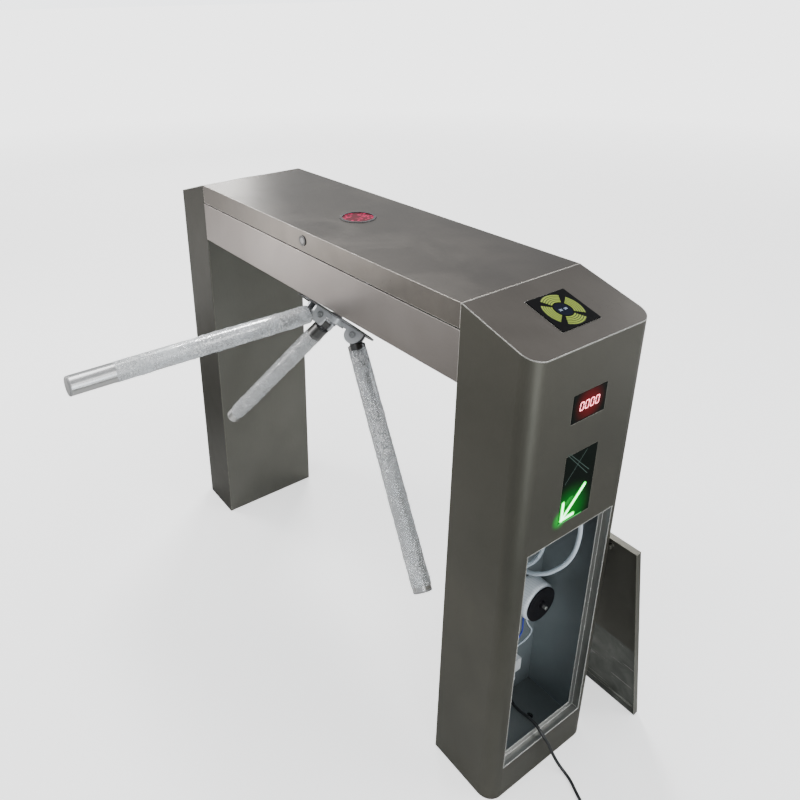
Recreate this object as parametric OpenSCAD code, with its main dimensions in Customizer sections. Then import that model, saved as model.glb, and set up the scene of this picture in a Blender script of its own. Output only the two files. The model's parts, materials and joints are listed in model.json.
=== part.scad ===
// Visitor counter turnstile: a bridge-type tripod barrier in folded stainless sheet.
// Origin on the floor, midway between the four anchor bolts. X runs along the cabinet,
// the arms reach towards -Y, and +X is the end with the counter, the open bay and the lead.

/* [Cabinet] */
// Overall length of the cabinet
cabinet_l = 1200; // [1100:10:1300]
// Overall depth of the cabinet
cabinet_w = 280; // [270:2:300]
// Height of the lid above the floor
cabinet_h = 1000; // [990:2:1020]
// Length of one pedestal along the cabinet
leg_l = 150; // [140:2:160]
// How far the sloped top of a pedestal falls at its outer end
slope_drop = 45; // [30:1:55]
// Radius of the rounded outer edges of a pedestal
corner_r = 30; // [24:1:31]
// Thickness of the folded sheet
sheet = 1.5; // [1:0.1:2]
// Height of the underside of the beam
beam_z = 860; // [855:1:862]
// Height of the top edge of the beam
seam_z = 953; // [950:1:955]
// Width of the gap between beam and lid
seam_gap = 3; // [2:0.5:4]

/* [Service bay] */
// Clear width of the bay opening
bay_w = 216; // [200:1:216]
// Height of the sill of the bay opening
bay_z = 82; // [78:1:90]
// Clear height of the bay opening
bay_h = 512; // [490:1:516]
// How far the leaning cover tilts towards the pedestal
cover_lean = 12.5; // [11:0.1:14]

/* [Tripod] */
// Angle between the spindle and each arm
arm_angle = 48.2; // [47:0.1:49]
// Outside diameter of an arm
arm_d = 38; // [34:1:40]
// Length of an arm from the point where the three meet
arm_l = 603; // [500:1:610]
// Height of the point where the three arms meet
arm_z = 813.6; // [812:0.1:815]
// Radius of the disc behind the arms
disc_r = 95; // [90:1:96]

/* [Displays] */
// Width of the counter window
counter_w = 82; // [70:1:90]
// Height of the counter window
counter_h = 52; // [40:1:60]
// Width of the direction window
direction_w = 79; // [70:1:90]
// Height of the direction window
direction_h = 135; // [120:1:140]
// Diameter of the status lamp
lamp_d = 78; // [70:1:80]

/* [Lead] */
// Diameter of the mains lead
cord_d = 6.5; // [6:0.1:7]

/* [Hidden] */
$fn = 48;
leg_x = cabinet_l / 2 - leg_l;
end_x = cabinet_l / 2;
half_w = cabinet_w / 2;
slope = slope_drop / leg_l;
slope_angle = atan(slope);
inner_w = half_w - sheet;

// Floor anchors: two in each base plate
anchor_x = 520;
anchor_y = 66;
anchor_d = 14;
plate_t = 6;

// Head: spindle axis runs down and forward through the arms' meeting point
arm_y = -35.7;
disc_front = 38;
disc_t = 4;
pin_rho = 76;
pin_out = pin_rho * sin(arm_angle);
pin_up = pin_rho * cos(arm_angle);
pin_r = 5;
ear_r = 19;
ear_t = 6;
ear_gap = 18;
tongue_r = 12;
tube_start = pin_rho + 21;
tube_t = 1.5;
spindle_r = 12;
spigot_r = 8;
running = 0.05;
bearing_r = 26;
bearing_t = 12;
housing_back = -118;
housing_front = 24;
cam_r = 48;
cam_back = -150;
cam_t = 10;
mount_t = 6;
mount_x = 105;
rear_plate = -164;
pawl_x = 72;
pawl_s = -34;

head_hole = [92, 116];
head_hole_y = 8;
foot_bolts = [[-90, -60], [90, -60], [-90, 62], [90, 62]];

// Joint between beam and pedestals
cable_hole = [60, 905];
beam_bolt_y = 110;
beam_bolt_zs = [885, 935];

// Lid, its hinges and its lock
lid_z = seam_z + seam_gap;
lid_gap = 1;
hinge_y = half_w + 3.2;
hinge_z = seam_z + seam_gap / 2;
hinge_pin_r = 1.2;
knuckle_r = 2.9;
leaf_l = 60;
leaf_t = 1;
hinge_xs = [-300, 0, 300];
lock_x = 2;
lock_z = 979;
lock_body_r = 9;
lock_plug_r = 6;

// Bay cover
frame_t = 1.5;
frame_deep = 16;
stop_w = 12;
cover_w = bay_w - 2;
cover_h = bay_h - 2;
rim = 12;
cover_right_x = 644;
stud_y = 46;
stud_drop = 30;

// Displays
counter_c = [-2, 846];
direction_c = [-2.5, 692.5];
reader_x = 527;
reader_y = 4;
reader_l = 80;
reader_w = 90;
window_t = 3;
window_lip = 4;

// Inside the right pedestal
toroid_c = [497, 85, 293];
toroid_r = 43;
toroid_l = 43;
toroid_back = toroid_c[0] - toroid_l;
rail_z = 119;
gland_c = [leg_x + sheet, 30, 57];
gland_tip = 488;

// Route of the mains lead from the gland over the sill to the coil on the floor
CORD = [
    [488, 30, 57], [496, 27.5, 57], [506, 24, 58], [518, 20, 62], [532, 15, 70], [546, 10, 80],
    [560, 5, 90], [573, 1, 97], [584, -2, 100.5], [594, -3.5, 98.5], [603, -3, 92],
    [609, 0, 83], [613, 5, 71], [615, 9, 59], [616.5, 14, 46], [619, 19, 33],
    [625, 23, 20], [634, 26, 10], [646, 27, 4.5], [660, 24, 3.25], [680, 15, 3.25],
    [700, 6.5, 3.25], [720, -1.5, 3.25], [745, -11.5, 3.25], [771.9, -22.7, 3.25]
];
coil_c = [755, -65];
coil_mean_r = 39;
coil_turns_wide = 3;
coil_turns_high = 2;
plug_at = [794.8, -88, 10.5];
plug_turn = -120;

// ---- shared shapes ----

// Plan of the right pedestal, inset by a wall and reaching inwards past its open side
module leg_plan(inset, reach) {
    r = corner_r - inset;
    w = half_w - inset;
    translate([leg_x - reach, -w]) square([leg_l + reach - inset - r, 2 * w]);
    translate([leg_x, r - w]) square([leg_l - inset, 2 * (w - r)]);
    for (s = [-1, 1]) translate([end_x - inset - r, s * (w - r)]) circle(r);
}

// Profile in the XZ plane, drawn out along Y about the middle
module across(width) {
    translate([0, width / 2, 0]) rotate([90, 0, 0]) linear_extrude(width) children();
}

// Slab that follows the sloped top, between two depths below it
module slope_slab(top, bottom) {
    across(cabinet_w + 2) polygon([
        [leg_x - 1, cabinet_h + slope - top], [end_x + 1, cabinet_h - slope_drop - slope - top],
        [end_x + 1, cabinet_h - slope_drop - slope - bottom], [leg_x - 1, cabinet_h + slope - bottom]
    ]);
}

module at_both_ends() {
    children();
    mirror([1, 0, 0]) children();
}

// Local Z along the spindle, pointing out of the head; local Y up and forward
module head_frame() {
    translate([0, arm_y, arm_z]) rotate([90 + arm_angle, 0, 0]) children();
}

// Local Z along one arm, local Y along its pin
module arm_frame(turn) {
    head_frame() rotate([0, 0, turn]) rotate([0, arm_angle, 0]) children();
}

// Rod along X from one x to another
module rod_x(x0, x1, r) {
    translate([x0, 0, 0]) rotate([0, 90, 0]) cylinder(r = r, h = x1 - x0);
}

// Rod along Y, from one y to another
module rod_y(y0, y1, r) {
    translate([0, y1, 0]) rotate([90, 0, 0]) cylinder(r = r, h = y1 - y0);
}

module centred_box(x0, x1, w, z0, z1) {
    translate([x0, -w / 2, z0]) cube([x1 - x0, w, z1 - z0]);
}

module window_cut(c, w, h) {
    translate([end_x - 10, c[0] - w / 2, c[1] - h / 2]) cube([20, w, h]);
}

// ---- swept tubes ----

function unit(v) = v / norm(v);

function catmull(p, i, t) =
    let (a = p[max(i - 1, 0)], b = p[i], c = p[i + 1], d = p[min(i + 2, len(p) - 1)])
    0.5 * (2 * b + (c - a) * t + (2 * a - 5 * b + 4 * c - d) * t * t
        + (3 * b - a - 3 * c + d) * t * t * t);

function smooth(p, n) = concat(
    [for (i = [0 : len(p) - 2], k = [0 : n - 1]) catmull(p, i, k / n)], [p[len(p) - 1]]);

function tangent(p, i) = unit(p[min(i + 1, len(p) - 1)] - p[max(i - 1, 0)]);

// Rings of a tube about a route that never runs straight along the given side direction
function rings(p, r, sides, side) = [
    for (i = [0 : len(p) - 1])
        let (t = tangent(p, i), u = unit(cross(t, side)), v = cross(t, u))
            for (k = [0 : sides - 1]) p[i] + r * (cos(360 * k / sides) * u + sin(360 * k / sides) * v)
];

module tube(p, r, sides, side) {
    n = len(p);
    walls = [for (i = [0 : n - 2], k = [0 : sides - 1]) let (a = i * sides, m = (k + 1) % sides)
        [a + k, a + m, a + sides + m, a + sides + k]];
    start = [for (k = [sides - 1 : -1 : 0]) k];
    finish = [for (k = [0 : sides - 1]) (n - 1) * sides + k];
    polyhedron(points = rings(p, r, sides, side), faces = concat(walls, [start, finish]));
}

// ---- pedestals ----

module pedestal_shell(windows) {
    difference() {
        linear_extrude(cabinet_h) leg_plan(0, 0);
        translate([0, 0, -1]) linear_extrude(cabinet_h + 2) leg_plan(sheet, 1);
        slope_slab(-100, sheet + 0.1);
        translate([end_x - 10, -bay_w / 2 - frame_t, bay_z - frame_t])
            cube([20, bay_w + 2 * frame_t, bay_h + 2 * frame_t]);
        window_cut(direction_c, direction_w, direction_h);
        if (windows > 1) window_cut(counter_c, counter_w, counter_h);
    }
}

module right_pedestal_shell() {
    color([0.36, 0.36, 0.33]) pedestal_shell(2);
}

module left_pedestal_shell() {
    color([0.36, 0.36, 0.33]) mirror([1, 0, 0]) pedestal_shell(1);
}

// Round holes for the beam bolts and the cables, through every wall at the joint
module joint_holes() {
    for (s = [-1, 1], z = beam_bolt_zs) translate([0, s * beam_bolt_y, z]) rod_x(leg_x - 10, leg_x + 10, 4);
    translate([0, cable_hole[0], cable_hole[1]]) rod_x(leg_x - 10, leg_x + 10, 20);
}

module inner_panel() {
    difference() {
        centred_box(leg_x, leg_x + sheet, 2 * inner_w, 0, cabinet_h - sheet - 1);
        joint_holes();
    }
}

module right_inner_panel() {
    color([0.42, 0.44, 0.46]) inner_panel();
}

module left_inner_panel() {
    color([0.42, 0.44, 0.46]) mirror([1, 0, 0]) inner_panel();
}

// Folded lining of the bay opening: a wall round it and a stop flange at the back
module door_frame() {
    slot_w = 16;
    difference() {
        centred_box(end_x - frame_deep, end_x, bay_w + 2 * frame_t, bay_z - frame_t, bay_z + bay_h + frame_t);
        centred_box(end_x - frame_deep + frame_t, end_x + 1, bay_w, bay_z, bay_z + bay_h);
        centred_box(end_x - 30, end_x, bay_w - 2 * stop_w, bay_z + stop_w, bay_z + bay_h - stop_w);
        for (s = [-1, 1]) translate([end_x - 30, s * (bay_w / 2 - 28) - slot_w / 2, bay_z + 3])
            cube([20, slot_w, 4]);
    }
}

module right_door_frame() {
    color([0.5, 0.5, 0.48]) door_frame();
}

module left_door_frame() {
    color([0.5, 0.5, 0.48]) mirror([1, 0, 0]) door_frame();
}

// Local frame of the reader: Z out of the slope, X down the slope
module reader_frame() {
    translate([reader_x, reader_y, cabinet_h - slope * (reader_x - leg_x)]) rotate([0, slope_angle, 0])
        children();
}

module slope_panels() {
    color([0.5, 0.48, 0.45]) at_both_ends() difference() {
        intersection() {
            linear_extrude(cabinet_h + 1) leg_plan(0, 0);
            slope_slab(0, sheet + 0.1);
        }
        reader_frame() cube([reader_l, reader_w, 20], center = true);
    }
}

module base_plate() {
    difference() {
        linear_extrude(plate_t) intersection() {
            leg_plan(sheet, 0);
            translate([leg_x + sheet, -half_w]) square([leg_l, cabinet_w]);
        }
        for (s = [-1, 1]) translate([anchor_x, s * anchor_y, -1]) cylinder(d = anchor_d, h = plate_t + 2);
    }
}

module right_base_plate() {
    color([0.4, 0.4, 0.42]) base_plate();
}

module left_base_plate() {
    color([0.4, 0.4, 0.42]) mirror([1, 0, 0]) base_plate();
}

// ---- beam ----

// Opening for the head and its four bolt holes, through the beam's floor and the foot plate
module foot_plate_holes() {
    translate([-head_hole[0] / 2, head_hole_y - head_hole[1] / 2, beam_z - 5])
        cube([head_hole[0], head_hole[1], 20]);
    for (p = foot_bolts) translate([p[0], p[1], beam_z - 5]) cylinder(r = 4, h = 20);
}

module beam_tray() {
    color([0.58, 0.55, 0.52]) difference() {
        centred_box(-leg_x, leg_x, cabinet_w, beam_z, seam_z);
        centred_box(sheet - leg_x, leg_x - sheet, 2 * inner_w, beam_z + sheet, seam_z + 1);
        foot_plate_holes();
        at_both_ends() joint_holes();
    }
}

// Bolts through the end walls of the beam into each pedestal
module beam_bolts() {
    nut_t = 6.5;
    color([0.7, 0.7, 0.7]) at_both_ends() for (s = [-1, 1], z = beam_bolt_zs)
        translate([0, s * beam_bolt_y, z]) {
            rod_x(leg_x - sheet - 8, leg_x + sheet, 4);
            rod_x(leg_x + sheet, leg_x + sheet + 5.3, 6.5);
            difference() {
                translate([leg_x - sheet - nut_t, 0, 0]) rotate([0, 90, 0]) cylinder(r = 7.5, h = nut_t, $fn = 6);
                rod_x(leg_x - sheet - nut_t - 1, leg_x, 4);
            }
        }
}

// One hinge leaf on the back wall, above (1) or below (-1) the hinge line, with its knuckles
module hinge_leaf(dir, knuckles) {
    knuckle = leaf_l / 3;
    near = 3.5;
    far = 30;
    translate([-leaf_l / 2, half_w, hinge_z + (dir > 0 ? near : -far)]) cube([leaf_l, leaf_t, far - near]);
    for (k = knuckles) translate([(k - 0.5) * knuckle + 0.1, 0, 0]) {
        translate([0, half_w, hinge_z + (dir > 0 ? 0 : -near)]) cube([knuckle - 0.2, hinge_y - half_w, near]);
        translate([0, hinge_y, hinge_z]) rod_x(0, knuckle - 0.2, knuckle_r);
    }
}

module lid_hinge_leaves() {
    color([0.6, 0.6, 0.6]) for (x = hinge_xs) translate([x, 0, 0]) {
        hinge_leaf(-1, [-1, 1]);
        translate([0, hinge_y, hinge_z]) rod_x(-leaf_l / 2, leaf_l / 2, hinge_pin_r);
    }
}

module lid_hinge_flaps() {
    color([0.6, 0.6, 0.6]) for (x = hinge_xs) translate([x, 0, 0]) difference() {
        hinge_leaf(1, [0]);
        translate([0, hinge_y, hinge_z]) rod_x(-leaf_l, leaf_l, hinge_pin_r + running);
    }
}

// ---- lid ----

module lid() {
    l = leg_x - lid_gap;
    color([0.47, 0.44, 0.41]) difference() {
        centred_box(-l, l, cabinet_w, lid_z, cabinet_h);
        centred_box(sheet - l, l - sheet, 2 * inner_w, lid_z - 1, cabinet_h - sheet);
        translate([0, 0, cabinet_h - 5]) cylinder(d = lamp_d - 6, h = 10);
        translate([lock_x, 0, lock_z]) rod_y(-half_w - 5, -half_w + 5, lock_body_r);
    }
}

module lamp_ring() {
    color([0.1, 0.1, 0.1]) translate([0, 0, cabinet_h]) rotate_extrude($fn = 96)
        polygon([
            [lamp_d / 2 - 6, -16], [lamp_d / 2 - 3, -16], [lamp_d / 2 - 3, 0],
            [lamp_d / 2, 0], [lamp_d / 2 - 1, 1.6], [lamp_d / 2 - 6, 1.6]
        ]);
}

module lamp_lens() {
    color([0.8, 0.3, 0.35]) translate([0, 0, cabinet_h - 3]) cylinder(d = lamp_d - 12, h = 3, $fn = 96);
}

// Round board with rings of small lamps
module lamp_board() {
    led_r = 2.2;
    pitch = 8.5;
    color([0.9, 0.2, 0.3]) translate([0, 0, cabinet_h - 14]) {
        cylinder(d = lamp_d - 12, h = 1.6, $fn = 96);
        for (ring = [0 : 3], k = [0 : max(1, 6 * ring) - 1])
            rotate([0, 0, k * 360 / max(1, 6 * ring)]) translate([ring * pitch, 0, 1.6])
                cylinder(r = led_r, h = 6, $fn = 16);
    }
}

module lid_lock_body() {
    color([0.75, 0.75, 0.75]) translate([lock_x, 0, lock_z]) difference() {
        union() {
            rod_y(-half_w - 2, -half_w, lock_body_r + 2);
            rod_y(-half_w, -half_w + 20, lock_body_r);
        }
        rod_y(-half_w - 3, -half_w + 21, lock_plug_r + running);
    }
}

// Plug with its key slot, and the cam on its back end
module lid_lock_plug() {
    cam_l = 34;
    color([0.55, 0.55, 0.5]) translate([lock_x, 0, lock_z]) {
        difference() {
            rod_y(-half_w - 2, -half_w + 20.5, lock_plug_r);
            translate([-0.8, -half_w - 3, -3.5]) cube([1.6, 4, 7]);
        }
        translate([-7, -half_w + 20.5, -cam_l]) cube([14, 2.5, cam_l + 7]);
    }
}

// ---- displays ----

// Window with a lip behind the sheet, and the box of electronics behind it
module window(c, w, h) {
    fit = 0.3;
    translate([end_x - sheet, c[0] - w / 2 + fit, c[1] - h / 2 + fit]) cube([sheet, w - 2 * fit, h - 2 * fit]);
    translate([end_x - sheet - window_t, c[0] - w / 2 - window_lip, c[1] - h / 2 - window_lip])
        cube([window_t, w + 2 * window_lip, h + 2 * window_lip]);
}

module display_box(c, w, h, deep) {
    back = end_x - sheet - window_t;
    translate([back - 1.6, c[0] - w / 2, c[1] - h / 2]) cube([1.6, w, h]);
    translate([back - deep, c[0] - w / 2 + 4, c[1] - h / 2 + 4]) cube([deep - 1.6, w - 8, h - 8]);
}

module counter_window() {
    color([0.08, 0.03, 0.03]) window(counter_c, counter_w, counter_h);
}

module counter_display() {
    color([0.5, 0.1, 0.1]) display_box(counter_c, counter_w, counter_h, 18);
}

module direction_windows() {
    color([0.03, 0.08, 0.04]) at_both_ends() window(direction_c, direction_w, direction_h);
}

module direction_displays() {
    color([0.1, 0.4, 0.15]) at_both_ends() display_box(direction_c, direction_w, direction_h, 22);
}

module reader_windows() {
    fit = 0.3;
    color([0.06, 0.06, 0.05]) at_both_ends() reader_frame() {
        translate([0, 0, -0.5]) cube([reader_l - 2 * fit, reader_w - 2 * fit, 3.4], center = true);
        translate([0, 0, -3.2]) cube([reader_l + 10, reader_w + 10, 2], center = true);
    }
}

module reader_modules() {
    color([0.2, 0.4, 0.25]) at_both_ends() reader_frame() {
        translate([0, 0, -5]) cube([reader_l - 4, reader_w - 4, 1.6], center = true);
        translate([-8, 0, -10.8]) cube([46, 60, 10], center = true);
    }
}

// ---- head ----

// Foot plate, two cheeks, the sloping mount plate and the bracket behind the cam
module drive_frame() {
    cheek_t = 4;
    post_x = 52;
    post_s = 34;
    foot = beam_z + sheet;
    color([0.3, 0.3, 0.32]) {
        difference() {
            translate([-mount_x, -72, foot]) cube([2 * mount_x, 172, 4]);
            foot_plate_holes();
        }
        for (s = [-1, 1]) translate([s * (mount_x - cheek_t / 2) - cheek_t / 2, 0, 0])
            rotate([90, 0, 90]) linear_extrude(cheek_t)
                polygon([[-50, foot + 3], [78, foot + 3], [80, 869.2], [-1, 941.6], [-50, 892]]);
        head_frame() {
            difference() {
                translate([-mount_x, -52, housing_back - mount_t]) cube([2 * mount_x, 112, mount_t]);
                translate([0, 0, housing_back - mount_t - 1]) cylinder(r = spindle_r + 3, h = mount_t + 2);
            }
            for (x = [-1, 1], s = [-1, 1]) translate([x * post_x, s * post_s, rear_plate])
                cylinder(r = 5, h = housing_back - mount_t - rear_plate);
            difference() {
                translate([-60, -42, rear_plate]) cube([120, 84, 4]);
                translate([0, 0, rear_plate - 1]) cylinder(r = spindle_r + 3, h = 6);
            }
            for (s = [-1, 1]) translate([s * pawl_x, pawl_s, cam_back - 2])
                cylinder(r = 4, h = housing_back - mount_t - cam_back + 2);
        }
    }
}

module drive_frame_bolts() {
    top = beam_z + sheet + 4;
    color([0.7, 0.7, 0.7]) for (p = foot_bolts) translate([p[0], p[1], 0]) {
        translate([0, 0, beam_z - 5]) cylinder(r = 6.5, h = 5);
        translate([0, 0, beam_z]) cylinder(r = 4, h = top - beam_z + 8);
        translate([0, 0, top]) difference() {
            cylinder(r = 7.5, h = 6.5, $fn = 6);
            translate([0, 0, -1]) cylinder(r = 4, h = 9);
        }
    }
}

module head_housing() {
    color([0.45, 0.45, 0.46]) head_frame() difference() {
        union() {
            translate([0, 0, housing_back]) cylinder(r = 36, h = housing_front - housing_back);
            translate([0, 0, housing_back]) cylinder(r = 46, h = 6);
            translate([0, 0, housing_front - 8]) cylinder(r = 42, h = 8);
        }
        translate([0, 0, housing_back - 1]) cylinder(r = bearing_r, h = housing_front - housing_back + 2);
    }
}

// Two bearings: the spindle turns in them with a running clearance
module spindle_bearings() {
    color([0.65, 0.65, 0.68]) head_frame() for (z = [housing_back + 4, housing_front - bearing_t - 4])
        translate([0, 0, z]) difference() {
            cylinder(r = bearing_r, h = bearing_t);
            translate([0, 0, -1]) cylinder(r = spindle_r + running, h = bearing_t + 2);
        }
}

// Two pawls, drawn clear of the cam as they stand while the gate is free
module lock_pawls() {
    tail = [80 - pawl_x, 6 - pawl_s];
    turn = atan2(tail[1], tail[0]);
    color([0.6, 0.55, 0.35]) head_frame() for (m = [0, 1]) mirror([m, 0, 0])
        translate([pawl_x, pawl_s, cam_back]) linear_extrude(8) difference() {
            union() {
                circle(9);
                translate(tail) circle(6);
                rotate([0, 0, turn]) translate([0, -6]) square([norm(tail), 12]);
                translate([-14, 18]) square([16, 8]);
                translate([-14, 22]) circle(4);
            }
            circle(4 + running);
        }
}

module lock_solenoids() {
    color([0.15, 0.15, 0.17]) head_frame() for (m = [0, 1]) mirror([m, 0, 0]) {
        translate([67, 18, cam_back - 2]) cube([26, 36, housing_back - mount_t - cam_back + 2]);
        translate([80, 12.5, cam_back + 4]) rotate([-90, 0, 0]) cylinder(r = 4, h = 6);
    }
}

module rotary_damper() {
    color([0.2, 0.2, 0.22]) head_frame() translate([0, 0, rear_plate - 20]) difference() {
        cylinder(r = 25, h = 20);
        translate([0, 0, 3]) cylinder(r = spindle_r + running, h = 20);
    }
}

module position_sensor() {
    color([0.1, 0.12, 0.1]) head_frame() difference() {
        translate([-12, 51, cam_back - 4]) cube([24, 9, housing_back - mount_t - cam_back + 4]);
        translate([-13, 50, cam_back + 3]) cube([26, 6, 4]);
    }
}

module spindle() {
    back = rear_plate - 16;
    color([0.72, 0.72, 0.74]) head_frame() difference() {
        union() {
            translate([0, 0, back]) cylinder(r = spindle_r, h = disc_front - disc_t - back);
            translate([0, 0, disc_front - disc_t]) cylinder(r = spigot_r, h = disc_t + 8);
        }
        translate([0, 0, disc_front - 6]) cylinder(r = 4, h = 20);
    }
}

module index_cam() {
    color([0.55, 0.55, 0.58]) head_frame() translate([0, 0, cam_back]) linear_extrude(cam_t) difference() {
        circle(cam_r, $fn = 96);
        circle(spindle_r);
        for (a = [0 : 120 : 240]) rotate([0, 0, a + 30]) translate([cam_r, 0]) circle(8);
        for (a = [0 : 120 : 240]) rotate([0, 0, a + 90]) translate([30, 0]) circle(7);
    }
}

module hub_disc() {
    color([0.4, 0.41, 0.42]) head_frame() translate([0, 0, disc_front - disc_t]) difference() {
        cylinder(r = disc_r, h = disc_t, $fn = 128);
        translate([0, 0, -1]) cylinder(r = spigot_r, h = disc_t + 2);
    }
}

// One D-shaped ear in the plane of the spindle and the arm
module ear_profile() {
    foot = disc_front;
    translate([pin_out - ear_r, foot]) square([2 * ear_r, pin_up - foot]);
    translate([pin_out, pin_up]) circle(ear_r);
    translate([16, foot]) square([pin_out - 16, 9]);
}

// Boss on the spindle and three pairs of ears for the arms
module hub_casting() {
    boss_r = 26;
    boss_t = 12;
    color([0.6, 0.61, 0.63]) head_frame() difference() {
        union() {
            translate([0, 0, disc_front]) cylinder(r = boss_r, h = boss_t);
            for (a = [90, 210, 330], s = [-1, 1]) rotate([0, 0, a])
                translate([0, s * (ear_gap + ear_t) / 2, 0]) rotate([90, 0, 0])
                    translate([0, 0, -ear_t / 2]) linear_extrude(ear_t) intersection() {
                        ear_profile();
                        translate([0, disc_front]) square([200, 200]);
                    }
        }
        translate([0, 0, disc_front - 1]) cylinder(r = spigot_r, h = 9.01);
        translate([0, 0, disc_front]) cylinder(r = 4, h = 30);
        for (a = [90, 210, 330]) rotate([0, 0, a]) {
            translate([pin_out, 0, pin_up]) rotate([90, 0, 0]) cylinder(r = pin_r, h = 60, center = true);
            translate([boss_r - 6, -ear_gap / 2, disc_front]) cube([60, ear_gap, 40]);
        }
    }
}

// Arm pins with their screw heads, and the screw that holds the hub on the spindle
module hub_fasteners() {
    half = ear_gap / 2 + ear_t;
    color([0.35, 0.35, 0.36]) head_frame() {
        for (a = [90, 210, 330]) rotate([0, 0, a]) translate([pin_out, 0, pin_up]) rotate([90, 0, 0]) {
            cylinder(r = pin_r, h = 2 * half, center = true);
            for (s = [0, 1]) mirror([0, 0, s]) translate([0, 0, half]) difference() {
                cylinder(r = 7.5, h = 3);
                translate([0, 0, 1.2]) cylinder(r = 3, h = 4, $fn = 6);
            }
        }
        translate([0, 0, disc_front - 4]) cylinder(r = 4, h = 16);
        translate([0, 0, disc_front + 12]) cylinder(r = 9, h = 5);
    }
}

// ---- arms ----

// Tongue in the hub's ears, a plug and the tube, along local Z
module arm_body(turn) {
    plug_l = 26;
    neck = 1.5;
    arm_frame(turn) difference() {
        union() {
            translate([0, 0, pin_rho]) rotate([90, 0, 0]) cylinder(r = tongue_r, h = ear_gap - 0.4, center = true);
            translate([-tongue_r, -ear_gap / 2 + 0.2, pin_rho]) cube([2 * tongue_r, ear_gap - 0.4, tube_start - pin_rho]);
            translate([0, 0, tube_start - neck]) cylinder(r = arm_d / 2 - 2, h = neck);
            translate([0, 0, tube_start]) cylinder(r = arm_d / 2, h = arm_l - tube_start - 4);
        }
        translate([0, 0, tube_start + plug_l]) cylinder(r = arm_d / 2 - tube_t, h = arm_l);
        translate([0, 0, pin_rho]) rotate([90, 0, 0]) cylinder(r = pin_r + running, h = 60, center = true);
    }
}

// Plastic plug that closes the end of an arm, with a rounded rim
module arm_cap(turn) {
    r = arm_d / 2;
    arm_frame(turn) translate([0, 0, arm_l - 4]) rotate_extrude()
        polygon(concat(
            [[0, -14], [r - tube_t, -14], [r - tube_t, 0], [r, 0], [r, 1]],
            [for (a = [15 : 15 : 90]) [r - 3 + 3 * cos(a), 1 + 3 * sin(a)]],
            [[0, 4]]
        ));
}

// Packing film left on an arm, between two distances from the meeting point
module arm_film(turn, from, to) {
    film_t = 1;
    arm_frame(turn) translate([0, 0, from]) difference() {
        cylinder(r = arm_d / 2 + film_t, h = to - from);
        translate([0, 0, -1]) cylinder(r = arm_d / 2, h = to - from + 2);
    }
}

module drop_arm_tube() {
    color([0.65, 0.66, 0.68]) arm_body(90);
}

module drop_arm_cap() {
    color([0.5, 0.5, 0.5]) arm_cap(90);
}

module drop_arm_film() {
    color([0.8, 0.82, 0.85]) arm_film(90, tube_start + 2, 0.62 * arm_l);
}

module left_arm() {
    color([0.4, 0.38, 0.36]) arm_body(210);
}

module right_arm() {
    color([0.5, 0.5, 0.5]) arm_body(330);
}

module lower_arm_caps() {
    color([0.5, 0.5, 0.5]) for (a = [210, 330]) arm_cap(a);
}

module lower_arm_films() {
    color([0.75, 0.77, 0.8]) {
        arm_film(210, tube_start + 38, arm_l - 30);
        arm_film(330, tube_start + 12, arm_l - 12);
    }
}

// ---- control board in the beam ----

module control_board() {
    board = [160, 120];
    at = [190, -60, beam_z + sheet];
    stand = 8;
    color([0.1, 0.35, 0.2]) translate(at) {
        for (x = [8, board[0] - 8], y = [8, board[1] - 8]) translate([x, y, 0]) cylinder(r = 4, h = stand);
        translate([0, 0, stand]) cube([board[0], board[1], 1.6]);
        for (k = [0 : 5]) translate([12 + 24 * k, 4, stand + 1.6]) cube([20, 10, 12]);
        for (k = [0 : 2]) translate([30 + 40 * k, 60, stand + 1.6]) cube([18, 18, 3]);
        for (k = [0 : 3]) translate([24 + 34 * k, 100, stand + 1.6]) cylinder(r = 6, h = 18);
    }
}

// ---- inside the right pedestal ----

module transformer() {
    bend = 10;
    color([0.85, 0.87, 0.9]) translate([toroid_back, toroid_c[1], toroid_c[2]]) rotate([0, 90, 0])
        rotate_extrude($fn = 64) difference() {
            union() {
                translate([12, bend]) square([toroid_r - 12, toroid_l - 2 * bend]);
                translate([12 + bend, 0]) square([toroid_r - 12 - 2 * bend, toroid_l]);
                for (x = [12 + bend, toroid_r - bend], y = [bend, toroid_l - bend]) translate([x, y]) circle(bend);
            }
        }
}

// Backing washer, face washer and the bolt through the middle
module transformer_clamp() {
    gap = toroid_back - leg_x - sheet;
    color([0.08, 0.08, 0.09]) translate([0, toroid_c[1], toroid_c[2]]) {
        translate([leg_x + sheet, 0, 0]) rod_x(0, gap, toroid_r - 8);
        rod_x(toroid_c[0], toroid_c[0] + 3, toroid_r - 4);
        rod_x(toroid_back, toroid_c[0], 5);
        rod_x(toroid_c[0] + 3, toroid_c[0] + 9, 8);
        rod_x(toroid_c[0] + 9, toroid_c[0] + 15, 4);
    }
}

module din_rail() {
    color([0.7, 0.7, 0.68]) translate([leg_x + sheet, -10, rail_z - 17.5])
        cube([7.5, 84, 35]);
}

module circuit_breaker() {
    face = leg_x + sheet + 7.5;
    color([0.9, 0.9, 0.9]) translate([face, 20, rail_z - 22]) {
        cube([22, 18, 44]);
        translate([22, 0, 8]) cube([10, 18, 28]);
        translate([32, 5, 16]) cube([5, 8, 8]);
    }
}

module terminal_block() {
    color([0.88, 0.88, 0.85]) for (k = [0 : 3]) translate([leg_x + sheet + 7.5, 42 + 7 * k, rail_z - 16])
        cube([20, 6.6, 32]);
}

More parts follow.
